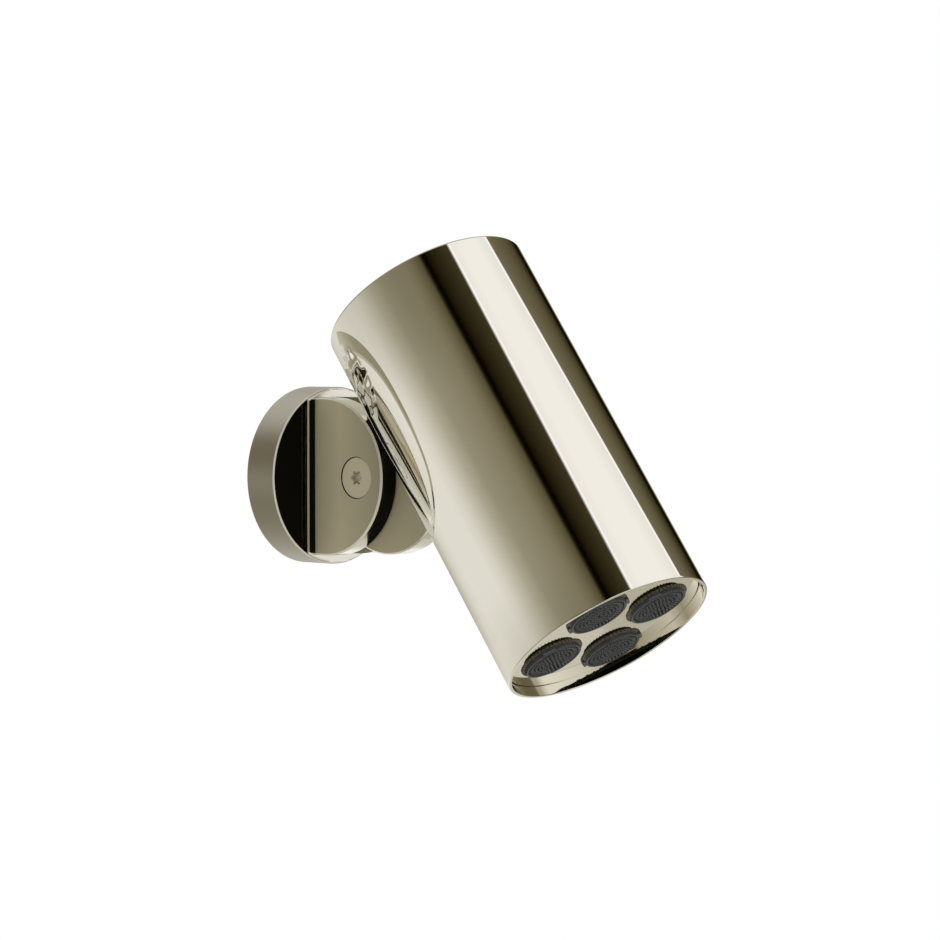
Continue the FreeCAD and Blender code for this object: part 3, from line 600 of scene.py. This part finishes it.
def place_piece(name, mesh, body, replaced):
    """Makes the object, lets it ride on its body and stand for its node."""
    piece = add_object(name, mesh)
    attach(piece, body)
    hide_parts(replaced)
    print(name, "faces:", len(mesh.polygons))
    return piece


def arc_corner(radius, station, size, start, steps=4):
    """Points of a quarter-round edge about its middle, from a start angle in degrees."""
    points = []
    for step in range(steps + 1):
        turn = math.radians(start + 90 * step / steps)
        points.append((radius + size * math.cos(turn), station + size * math.sin(turn)))
    return points


# %% [markdown]
# Each side of the cylinder's back has a shallow hollow beside the knuckle. It could be pressed
# into the mesh, but it bends the mirror image far more than the outline, so the surface normal is
# turned inside a rounded border. A leaning lip goes round its inner edge, and one spot is wavy.

# %% Sizes of the side hollows
HOLLOW_MIDDLE = (math.radians(50), 27 * MM)
HOLLOW_REACH = (math.radians(36.5), 39 * MM)
CORE_MIDDLE = (math.radians(50), 23 * MM)
CORE_REACH = (math.radians(34.5), 35 * MM)
HOLLOW_SQUARENESS = 2.5
HOLLOW_BEND = 0.36
BORDER_LEAN = 0.27
LIP_LEAN = 0.43
SIDE_START = math.radians(37.5)
TOP_CUT = 40 * MM
TOP_FADE = 25 * MM
TOP_SLOPE = 20 * MM / math.radians(22.5)
WAVE_MIDDLE = (math.radians(61), 46 * MM)
WAVE_REACH = (math.radians(14), 15 * MM)
WAVE_SCALE = 210.0
WAVE_BEND = 3.5
WAVE_LEAN = 3.0
UPRIGHT = HANG.to_3x3()
BACK = UPRIGHT @ Vector((0, 1, 0))
UP = UPRIGHT @ Vector((0, 0, 1))
print("the cylinder's back points to", [round(v, 3) for v in BACK])

# %% [markdown]
# The shell's own coordinates are the angle from its back and the station along its axis. Both
# sides use the same angle, so the hollows mirror each other. Inside a border the outline function
# is below 1, and outside it is above 1.

# %% Places on the shell and borders of the hollow
def shell_place(tree, spot):
    """Where a spot lies on the upright shell: sideways, backwards, and its angle and station."""
    across = along(tree, spot, (1, 0, 0))
    backward = calculate(tree, "SUBTRACT", along(tree, spot, BACK), BACK.dot(HANG.translation))
    station = calculate(tree, "SUBTRACT", along(tree, spot, UP), UP.dot(HANG.translation))
    angle = calculate(tree, "ARCTAN2", calculate(tree, "ABSOLUTE", across), backward)
    return across, backward, angle, station


def outline(tree, angle, station, middle, reach, power):
    """Rounded outline in angle and station: below 1 inside, above 1 outside."""
    terms = []
    for value, centre, half in ((angle, middle[0], reach[0]), (station, middle[1], reach[1])):
        apart = calculate(tree, "ABSOLUTE", calculate(tree, "SUBTRACT", value, centre))
        terms.append(calculate(tree, "POWER", calculate(tree, "DIVIDE", apart, half), power))
    return calculate(tree, "POWER", calculate(tree, "ADD", *terms), 1 / power)


def outer_border(tree, angle, station):
    """Outline of the whole hollow, cut off by a slanting line at its top."""
    edge = outline(tree, angle, station, HOLLOW_MIDDLE, HOLLOW_REACH, HOLLOW_SQUARENESS)
    sideways = calculate(tree, "SUBTRACT", angle, SIDE_START)
    level = calculate(tree, "MULTIPLY_ADD", sideways, -TOP_SLOPE, station)
    past_cut = calculate(tree, "SUBTRACT", level, TOP_CUT)
    cut = calculate(tree, "MULTIPLY_ADD", past_cut, 1 / TOP_FADE, 1.0)
    return calculate(tree, "MAXIMUM", edge, cut)


def waves(tree, spot, angle, station):
    """Uneven waves round zero that fade out at the border of the wavy spot."""
    noise = new_node(tree, "ShaderNodeTexNoise")
    noise.inputs["Scale"].default_value = WAVE_SCALE
    noise.inputs["Detail"].default_value = 0.5
    tree.links.new(spot, noise.inputs["Vector"])
    wavy = smooth(tree, outline(tree, angle, station, WAVE_MIDDLE, WAVE_REACH, 2.0), 1.0, 0.7)
    return calculate(tree, "MULTIPLY", calculate(tree, "SUBTRACT", noise.outputs["Fac"], 0.5), wavy)


# %% [markdown]
# The turned normal has two parts: an angle round the axis, which the hollow bends, and a lean
# along the axis, which the border and its lip add. It is built from the shell's own directions.

# %% Cylinder finish with side hollows
def hollow_normal(tree, spot):
    """Normal inside the hollows, and the mask that says where it counts."""
    across, backward, angle, station = shell_place(tree, spot)
    squares = [calculate(tree, "POWER", value, 2.0) for value in (across, backward)]
    from_axis = calculate(tree, "SQRT", calculate(tree, "ADD", *squares))
    on_skin = calculate(tree, "GREATER_THAN", from_axis, SHELL_R - 0.1 * MM)
    within = smooth(tree, outer_border(tree, angle, station), 1.0, 0.985)
    inside = calculate(tree, "MULTIPLY", within, on_skin)
    inner_edge = outline(tree, angle, station, CORE_MIDDLE, CORE_REACH, HOLLOW_SQUARENESS)
    core = smooth(tree, inner_edge, 1.02, 0.98)
    wave = waves(tree, spot, angle, station)
    bend = calculate(tree, "MULTIPLY", calculate(tree, "SUBTRACT", angle, SIDE_START), -HOLLOW_BEND)
    bent = calculate(tree, "MULTIPLY_ADD", bend, core, angle)
    bent = calculate(tree, "MULTIPLY_ADD", wave, WAVE_BEND, bent)
    upper = smooth(tree, station, 5 * MM, 50 * MM)
    border = calculate(tree, "MULTIPLY", calculate(tree, "SUBTRACT", 1.0, core), upper)
    lip_start, lip_end = smooth(tree, inner_edge, 0.965, 0.985), smooth(tree, inner_edge, 1.02, 1.0)
    lip = calculate(tree, "MULTIPLY", lip_start, lip_end)
    wave_lean = calculate(tree, "MULTIPLY", wave, WAVE_LEAN)
    lean = calculate(tree, "MULTIPLY_ADD", border, BORDER_LEAN, wave_lean)
    lean = calculate(tree, "MULTIPLY_ADD", lip, calculate(tree, "SUBTRACT", LIP_LEAN, lean), lean)
    sideward = calculate(tree, "MULTIPLY", calculate(tree, "SIGN", across), calculate(tree, "SINE", bent))
    turned = new_node(tree, "ShaderNodeCombineXYZ")
    tree.links.new(sideward, turned.inputs["X"])
    for axis, of_back, of_up in (("Y", BACK.y, UP.y), ("Z", BACK.z, UP.z)):
        part = calculate(tree, "MULTIPLY", calculate(tree, "COSINE", bent), of_back)
        tree.links.new(calculate(tree, "MULTIPLY_ADD", lean, of_up, part), turned.inputs[axis])
    return turned.outputs[0], inside


def hollow_finish():
    """Polished nickel whose normal turns inside the two side hollows."""
    material, tree, shader = start_material("hollow_nickel")
    shader.inputs["Base Color"].default_value = NICKEL
    shader.inputs["Metallic"].default_value = 1.0
    effect = add_marks(tree, shader, 1500.0, 0.03, 0.02, 0.01)
    spot = new_node(tree, "ShaderNodeTexCoord").outputs["Object"]
    turned, inside = hollow_normal(tree, spot)
    to_world = new_node(
        tree, "ShaderNodeVectorTransform", vector_type="NORMAL", convert_from="OBJECT", convert_to="WORLD",
    )
    tree.links.new(turned, to_world.inputs[0])
    mixed = blend(tree, inside, effect.outputs["Normal"], to_world.outputs[0])
    unit = new_node(tree, "ShaderNodeVectorMath", operation="NORMALIZE")
    tree.links.new(mixed, unit.inputs[0])
    tree.links.new(unit.outputs["Vector"], shader.inputs["Normal"])
    return material


hollow_nickel = hollow_finish()
print("cylinder finish nodes:", len(hollow_nickel.node_tree.nodes))

# %% [markdown]
# The cylinder is a mirror, so every flat facet would show as a break in its bands. A finer turned
# mesh with rounded edges stands for it.

# %% Cylinder
top = SHELL_LENGTH / 2
rim = -SHELL_LENGTH / 2
shell_inner = SHELL_R - SHELL_WALL
ledge = rim + LEDGE_UP
profile = [(0, top), (SHELL_R - 2 * SHELL_EDGE, top)]
profile += arc_corner(SHELL_R - SHELL_EDGE, top - SHELL_EDGE, SHELL_EDGE, 0)[::-1]
profile += [(SHELL_R, top - 2 * SHELL_EDGE), (SHELL_R, rim + 2 * SHELL_EDGE)]
profile += arc_corner(SHELL_R - SHELL_EDGE, rim + SHELL_EDGE, SHELL_EDGE, -90)[::-1]
profile += [(shell_inner + SHELL_EDGE / 2, rim), (shell_inner, rim + SHELL_EDGE / 2)]
profile += [(shell_inner, rim + SHELL_EDGE), (shell_inner, ledge), (shell_inner - LEDGE_WIDTH, ledge)]
profile += [(shell_inner - LEDGE_WIDTH, ledge + LEDGE_THICK), (shell_inner, ledge + LEDGE_THICK)]
profile += [(shell_inner, top - SHELL_TOP), (0, top - SHELL_TOP)]
mesh = finished_mesh("shell_mirror", lathe(profile))
mesh.transform(HANG)
soften(mesh, 30)
mesh.materials.append(hollow_nickel)
place_piece("shell_mirror", mesh, "head", "shell")

# %% [markdown]
# The fork and the tongue have bright turned edges and satin cheeks, and the flange ring has a
# brushed band and a polished front. A copy of each solid is merged first, then each face gets its
# finish by the way it faces. The bar of the fork is closed between the cheeks at both ends.

# %% Copy of a solid with several finishes
def finished_copy(node, body, name, finishes, choose, extra=()):
    """Copy of a solid whose faces get one of several finishes, with extra blocks added."""
    shape = bmesh.new()
    shape.from_mesh(nodes[node].data)
    bmesh.ops.remove_doubles(shape, verts=shape.verts, dist=0.002 * MM)
    bmesh.ops.recalc_face_normals(shape, faces=shape.faces)
    for face in shape.faces:
        face.material_index = choose(face.normal, face.calc_center_median())
    for corners in extra:
        block = [shape.verts.new(corner) for corner in corners]
        for loop in ((0, 1, 2, 3), (7, 6, 5, 4), (0, 4, 5, 1), (1, 5, 6, 2), (2, 6, 7, 3), (3, 7, 4, 0)):
            shape.faces.new([block[index] for index in loop])
    mesh = finished_mesh(name, shape)
    if "custom_normal" in mesh.attributes:
        mesh.attributes.remove(mesh.attributes["custom_normal"])
    soften(mesh, 25, flat_sides=True)
    for finish in finishes:
        mesh.materials.append(finish)
    return place_piece(name, mesh, body, node)


# %% Finish of each face
def bar_filler(way):
    """Corners of the block that closes the bar above (1) or below (-1) the cheeks."""
    near_z = way * (CHEEK_R - 0.2 * MM)
    far_z = way * (BAR_R - 0.35 * MM)
    corners = []
    for depth in (-BAR_BACK, -BAR_FRONT):
        square = [
            (-SLOT_HALF, depth, near_z), (SLOT_HALF, depth, near_z),
            (SLOT_HALF, depth, far_z), (-SLOT_HALF, depth, far_z),
        ]
        corners += square if way > 0 else square[::-1]
    return corners


def knuckle_face(normal, spot):
    """Satin cheeks, bevels with a painted highlight round them, bright metal elsewhere."""
    if abs(normal.x) > 0.95:
        if spot.y < -BAR_FRONT:
            return 1
        return 3 if spot.y < -BAR_BACK else 0
    return 2 if abs(normal.x) > 0.5 and spot.y < -BAR_FRONT else 0


def tongue_face(normal, spot):
    """Satin cheeks, bright metal elsewhere."""
    return 1 if abs(normal.x) > 0.95 else 0


def flange_face(normal, spot):
    """Brushed band outside, a painted highlight on the bevel at its front, polished front and inner wall.
    """
    outward = normal.x * spot.x + normal.z * spot.z > 0
    if outward and -0.95 < normal.y < -0.4:
        return 2
    return 0 if outward and abs(normal.y) <= 0.4 else 1


# %% Knuckle and flange
fork = finished_copy(
    "knuckle_fork", "knuckle", "fork_finished",
    [bright_nickel, fork_satin, painted_highlight_edge, screw_satin], knuckle_face, (bar_filler(1), bar_filler(-1)),
)
tongue = finished_copy(
    "knuckle_tongue", "head", "tongue_finished", [bright_nickel, tongue_satin], tongue_face,
)
flange = finished_copy(
    "flange_ring", "wall", "flange_finished", [band_nickel, polished_nickel, painted_highlight_edge], flange_face,
)

# %% [markdown]
# Each spray insert has a collar that changes its reach round the circle: it has two lugs, and
# between them two grips a side that are flush with the rest here. The reach is a function of the
# angle from the lugs, and a pair of stations close together makes each step.

# %% Reach of the collar
LUG_TURN = 12
GRIP_START = 50
GRIP_END = 75


def collar_reach(degrees):
    """Outer radius of the collar at an angle from the lugs' line."""
    turned = abs((degrees + 90) % 180 - 90)
    if turned < LUG_TURN:
        return LUG_REACH
    if GRIP_START < turned < GRIP_END:
        return GRIP_REACH
    return COLLAR_R


def collar_angles():
    """Stations round the collar, with a pair close together at each step."""
    plain = [index * 2.5 + 1.25 for index in range(144)]
    quarter = (LUG_TURN, GRIP_START, GRIP_END)
    steps = []
    for turn in quarter + tuple(180 - turn for turn in quarter):
        for middle in (0, 180):
            steps += [(middle + turn - 0.15) % 360, (middle + turn + 0.15) % 360]
    return sorted(plain + steps)


# %% Collar mesh
def insert_mesh():
    """Collar with its lugs in the insert's own frame: from the toothed ring out, down and in again."""
    shape = bmesh.new()
    lip = 0.3 * MM
    angles = collar_angles()
    rings = []
    for degrees in angles:
        turn = math.radians(degrees)
        reach = collar_reach(degrees)
        section = [
            (TOOTH_RING_R - 0.6 * MM, -TOOTH_RING_THICK + 0.05 * MM),
            (reach, -TOOTH_RING_THICK),
            (reach, -COLLAR_HEIGHT + 2 * lip),
            (reach - 0.1 * MM, -COLLAR_HEIGHT + lip),
            (COLLAR_R - 0.1 * MM, -COLLAR_HEIGHT + lip),
            (COLLAR_R - 0.2 * MM, -COLLAR_HEIGHT + 0.06 * MM),
            (COLLAR_R - 0.35 * MM, -COLLAR_HEIGHT),
            (NOZZLE_FACE_R + 0.2 * MM, -COLLAR_HEIGHT),
            (NOZZLE_FACE_R + 0.02 * MM, -COLLAR_HEIGHT + 0.2 * MM),
            (NOZZLE_FACE_R - 0.1 * MM, -0.3 * MM),
        ]
        rings.append([shape.verts.new((r * math.cos(turn), r * math.sin(turn), z)) for r, z in section])
    for first, second in zip(rings, rings[1:] + rings[:1]):
        for index in range(len(first) - 1):
            shape.faces.new((first[index], second[index], second[index + 1], first[index + 1]))
    bmesh.ops.recalc_face_normals(shape, faces=shape.faces)
    return finished_mesh("insert_collar", shape)


collar = insert_mesh()
print("collar faces:", len(collar.polygons))

# %% [markdown]
# The small repeated shapes come from Geometry Nodes. One group sets copies of a piece on a circle
# and turns them outwards. The toothed ring uses it once and the nozzle field once for each ring.

# %% Group: copies round a ring
def make_round_copies():
    """Geometry group: a piece is set on a circle, facing outwards, with a slight random size."""
    group = bpy.data.node_groups.new("round_copies", "GeometryNodeTree")
    for name, kind in (
        ("Piece", "NodeSocketGeometry"), ("Count", "NodeSocketInt"), ("Radius", "NodeSocketFloat"),
        ("Height", "NodeSocketFloat"), ("Size Spread", "NodeSocketFloat"), ("Seed", "NodeSocketInt"),
    ):
        group.interface.new_socket(name, in_out="INPUT", socket_type=kind)
    group.interface.new_socket("Copies", in_out="OUTPUT", socket_type="NodeSocketGeometry")
    start = new_node(group, "NodeGroupInput")
    end = new_node(group, "NodeGroupOutput")
    circle = new_node(group, "GeometryNodeMeshCircle")
    group.links.new(start.outputs["Count"], circle.inputs["Vertices"])
    group.links.new(start.outputs["Radius"], circle.inputs["Radius"])
    outward = new_node(group, "FunctionNodeAlignRotationToVector", axis="X", pivot_axis="Z")
    group.links.new(new_node(group, "GeometryNodeInputPosition").outputs[0], outward.inputs["Vector"])
    varied = new_node(group, "FunctionNodeRandomValue", data_type="FLOAT")
    group.links.new(calculate(group, "SUBTRACT", 1.0, start.outputs["Size Spread"]), varied.inputs[2])
    group.links.new(calculate(group, "ADD", 1.0, start.outputs["Size Spread"]), varied.inputs[3])
    group.links.new(start.outputs["Seed"], varied.inputs["Seed"])
    placed = new_node(group, "GeometryNodeInstanceOnPoints")
    group.links.new(circle.outputs[0], placed.inputs["Points"])
    group.links.new(start.outputs["Piece"], placed.inputs["Instance"])
    group.links.new(outward.outputs[0], placed.inputs["Rotation"])
    group.links.new(varied.outputs[1], placed.inputs["Scale"])
    raised = new_node(group, "GeometryNodeTransform")
    lift = new_node(group, "ShaderNodeCombineXYZ")
    group.links.new(start.outputs["Height"], lift.inputs["Z"])
    group.links.new(placed.outputs[0], raised.inputs["Geometry"])
    group.links.new(lift.outputs[0], raised.inputs["Translation"])
    group.links.new(raised.outputs[0], end.inputs[0])
    return group


round_copies = make_round_copies()
print("group inputs:", [item.name for item in round_copies.interface.items_tree if item.in_out == "INPUT"])


# %% Use of the group, and from a tree to a mesh
def add_ring(tree, piece, count, radius, height, spread, seed):
    """Uses the ring group in another tree. Returns its output."""
    made = new_node(tree, "GeometryNodeGroup", node_tree=round_copies)
    tree.links.new(piece, made.inputs["Piece"])
    for name, value in (
        ("Count", count), ("Radius", radius), ("Height", height), ("Size Spread", spread), ("Seed", seed),
    ):
        made.inputs[name].default_value = value
    return made.outputs[0]


def evaluate(tree, name, values):
    """Runs a geometry tree on a mesh object with named inputs. Returns the finished mesh."""
    carrier = add_object(name, bpy.data.meshes.new(name))
    modifier = carrier.modifiers.new("nodes", "NODES")
    modifier.node_group = tree
    for item in tree.interface.items_tree:
        if item.in_out == "INPUT" and item.name in values:
            modifier[item.identifier] = values[item.name]
    bpy.context.view_layer.update()
    finished = bpy.data.meshes.new_from_object(carrier.evaluated_get(bpy.context.evaluated_depsgraph_get()))
    bpy.data.objects.remove(carrier)
    finished.name = name
    return finished


# %% [markdown]
# The toothed ring is a flat disc with a row of little blocks round it. The nozzle field has a
# nozzle in its middle, five rings of them round it, and leaning ribs at its edge. Both are trees
# with named inputs for their sizes, and end in real faces with a finish.

# %% Start and end of a tree
def open_tree(name, sizes):
    """Empty geometry tree with a finish and named sizes. Returns tree, start and end."""
    tree = bpy.data.node_groups.new(name, "GeometryNodeTree")
    tree.interface.new_socket("Finish", in_out="INPUT", socket_type="NodeSocketMaterial")
    for size_name in sizes:
        tree.interface.new_socket(size_name, in_out="INPUT", socket_type="NodeSocketFloat")
    tree.interface.new_socket("Result", in_out="OUTPUT", socket_type="NodeSocketGeometry")
    return tree, new_node(tree, "NodeGroupInput"), new_node(tree, "NodeGroupOutput")


def close_tree(tree, start, end, parts):
    """Joins the parts, realizes them, sets the finish and links the result."""
    joined = new_node(tree, "GeometryNodeJoinGeometry")
    for part in parts:
        tree.links.new(part, joined.inputs[0])
    real = new_node(tree, "GeometryNodeRealizeInstances")
    tree.links.new(joined.outputs[0], real.inputs[0])
    painted = new_node(tree, "GeometryNodeSetMaterial")
    tree.links.new(real.outputs[0], painted.inputs["Geometry"])
    tree.links.new(start.outputs["Finish"], painted.inputs["Material"])
    tree.links.new(painted.outputs[0], end.inputs[0])


# %% Toothed ring
TOOTH_WIDTH = 0.75 * MM
tooth_tree, start, end = open_tree("toothed_ring", ["Tooth Width"])
tooth = new_node(tooth_tree, "GeometryNodeMeshCube")
tooth_size = new_node(tooth_tree, "ShaderNodeCombineXYZ")
tooth_size.inputs["X"].default_value = 2 * TOOTH_TIP
tooth_size.inputs["Z"].default_value = TOOTH_RING_THICK
tooth_tree.links.new(start.outputs["Tooth Width"], tooth_size.inputs["Y"])
tooth_tree.links.new(tooth_size.outputs[0], tooth.inputs["Size"])
teeth = add_ring(tooth_tree, tooth.outputs[0], TOOTH_COUNT, TOOTH_RING_R, -TOOTH_RING_THICK / 2, 0.0, 1)
disc = new_node(tooth_tree, "GeometryNodeMeshCylinder")
disc.inputs["Vertices"].default_value = 96
disc.inputs["Radius"].default_value = TOOTH_RING_R
disc.inputs["Depth"].default_value = TOOTH_RING_THICK
sunk = new_node(tooth_tree, "GeometryNodeTransform")
sunk.inputs["Translation"].default_value = (0, 0, -TOOTH_RING_THICK / 2)
tooth_tree.links.new(disc.outputs[0], sunk.inputs["Geometry"])
close_tree(tooth_tree, start, end, [teeth, sunk.outputs[0]])
# Its olive finish is a painted reflection of shaded nickel on dark plastic.
tooth_mesh = evaluate(tooth_tree, "toothed_ring", {"Finish": olive_painted_reflection, "Tooth Width": TOOTH_WIDTH})
print("toothed ring faces:", len(tooth_mesh.polygons))

# %% Nozzle field
NOZZLE_PITCH = 1.24 * MM
NOZZLE_RINGS = 6
NOZZLE_FILL = 0.95
NOZZLE_RADIUS = 0.46 * MM
NOZZLE_HEIGHT = 0.8 * MM
NOZZLE_TAPER = 0.55
RIB_SIZE = (1.3 * MM, 0.42 * MM, 0.8 * MM)
RIB_COUNT = 42
RIB_RING_R = 7.65 * MM
RIB_LEAN = math.radians(18)
RIB_LEVEL = -COLLAR_HEIGHT + 0.55 * MM
floor_level = -COLLAR_HEIGHT + 0.75 * MM

field_tree, start, end = open_tree("nozzle_field", ["Nozzle Radius", "Nozzle Height"])
nozzle = new_node(field_tree, "GeometryNodeMeshCone")
nozzle.inputs["Vertices"].default_value = 8
foot = start.outputs["Nozzle Radius"]
field_tree.links.new(foot, nozzle.inputs["Radius Bottom"])
field_tree.links.new(calculate(field_tree, "MULTIPLY", foot, NOZZLE_TAPER), nozzle.inputs["Radius Top"])
field_tree.links.new(start.outputs["Nozzle Height"], nozzle.inputs["Depth"])
outwards = new_node(field_tree, "GeometryNodeTransform")
outwards.inputs["Rotation"].default_value = (math.pi, 0, 0)
field_tree.links.new(nozzle.outputs[0], outwards.inputs["Geometry"])
parts = [add_ring(field_tree, outwards.outputs[0], 1, 0.0, floor_level, 0.0, 3)]
for ring in range(1, NOZZLE_RINGS):
    count = round(2 * math.pi * ring * NOZZLE_FILL)
    radius = ring * NOZZLE_PITCH
    parts.append(add_ring(field_tree, outwards.outputs[0], count, radius, floor_level, 0.06, ring))
rib = new_node(field_tree, "GeometryNodeMeshCube")
rib.inputs["Size"].default_value = RIB_SIZE
rib_lean = new_node(field_tree, "GeometryNodeTransform")
rib_lean.inputs["Rotation"].default_value = (0, RIB_LEAN, 0)
field_tree.links.new(rib.outputs[0], rib_lean.inputs["Geometry"])
parts.append(add_ring(field_tree, rib_lean.outputs[0], RIB_COUNT, RIB_RING_R, RIB_LEVEL, 0.04, 9))
close_tree(field_tree, start, end, parts)
field_mesh = evaluate(field_tree, "nozzle_field", {
    "Finish": charcoal_rubber, "Nozzle Radius": NOZZLE_RADIUS, "Nozzle Height": NOZZLE_HEIGHT,
})
print("nozzle field faces:", len(field_mesh.polygons))

# %% [markdown]
# The nozzles stand in a rubber dish, which is a short turned profile. Its near-black colour is
# painted shade between the nozzles. On the real insert the dish and its nozzles are one soft pad,
# and the collar and its toothed ring are one hard body.

# %% Dish of the nozzle pad
PAD_R = NOZZLE_FACE_R - 0.02 * MM
DISH_R = 6.9 * MM
dish = finished_mesh("dish", lathe([
    (0, -0.2 * MM), (PAD_R, -0.2 * MM), (PAD_R, -COLLAR_HEIGHT + 0.4 * MM),
    (NOZZLE_FACE_R - 0.5 * MM, -COLLAR_HEIGHT + 0.5 * MM), (DISH_R, floor_level), (0, floor_level),
], 96))
collar.materials.append(charcoal_plastic)
dish.materials.append(dish_painted_shade)
print("dish faces:", len(dish.polygons))

# %% [markdown]
# One insert is made at the origin and copied to its four places, turned so that its lugs lie
# across the line to the plate's middle. Its meshes are joined first, and each face keeps the
# finish of the mesh that it came from. The hard bodies stay out of mirror images, which keeps the
# plate between them clear.

# %% Joined meshes
def joined_mesh(name, meshes, transform):
    """One mesh from several, moved to its place, with soft shading and crisp edges."""
    shape = bmesh.new()
    materials = []
    for source in meshes:
        first = len(shape.faces)
        shape.from_mesh(source)
        shape.faces.ensure_lookup_table()
        if source.materials[-1] not in materials:
            materials.append(source.materials[-1])
        for face in shape.faces[first:]:
            face.material_index = materials.index(source.materials[-1])
    mesh = finished_mesh(name, shape)
    mesh.transform(transform)
    soften(mesh, 30)
    for material in materials:
        mesh.materials.append(material)
    return mesh


# %% Inserts on the plate
plate_front = rim + PLATE_RECESS
reach = INSERT_SPACING * (shell_inner - SEAM_GAP)
for index in range(4):
    turn = INSERT_PATTERN_TURN + (1.5 - index) * math.pi / 2
    spot = Matrix.Translation((reach * math.cos(turn), reach * math.sin(turn), plate_front))
    placing = HANG @ spot @ Matrix.Rotation(turn - math.pi / 2, 4, "Z")
    number = str(index + 1)
    body_mesh = joined_mesh("insert_" + number, [collar, tooth_mesh], placing)
    insert = place_piece("insert_" + number, body_mesh, "head", "spray_insert_" + number)
    insert.visible_glossy = False
    pad_mesh = joined_mesh("nozzles_" + number, [dish, field_mesh], placing)
    place_piece("nozzles_" + number, pad_mesh, "head", "nozzle_pad_" + number)

# %% [markdown]
# The other solids keep their own meshes and only get a finish. Most of them sit inside and show
# when the shower head is taken apart.

# %% Finishes for the pieces that stay as the solids give them
SOLID_FINISHES = (
    (turned_brass, ("wall_body", "pivot_sleeve", "inner_saddle", "feed_nipple")),
    (plain_steel, ("swivel_snap_ring", "saddle_screws", "manifold_screws")),
    (seal_rubber, ("wall_gasket", "flange_seal", "swivel_seal", "screw_seal")),
    (seal_rubber, ("pivot_seals", "nipple_seal", "manifold_seal", "insert_seals")),
    (hose_rubber, ("feed_hose",)),
    (pale_plastic, ("friction_washers", "inlet_filter")),
    (inner_plastic, ("flow_regulator", "spray_manifold")),
    (polished_nickel, ("slide_disc",)),
    (screw_satin, ("pivot_screw",)),
    (plate_nickel, ("face_plate",)),
)
for finish, names in SOLID_FINISHES:
    for name in names:
        slots = nodes[name].material_slots
        if len(slots) == 0:
            nodes[name].data.materials.append(finish)
        for slot in slots:
            slot.material = finish
    print(finish.name, "on", ", ".join(names))

# %% [markdown]
# Last, the colours are shown as they are.

# %% Close
bpy.context.scene.view_settings.view_transform = "Standard"
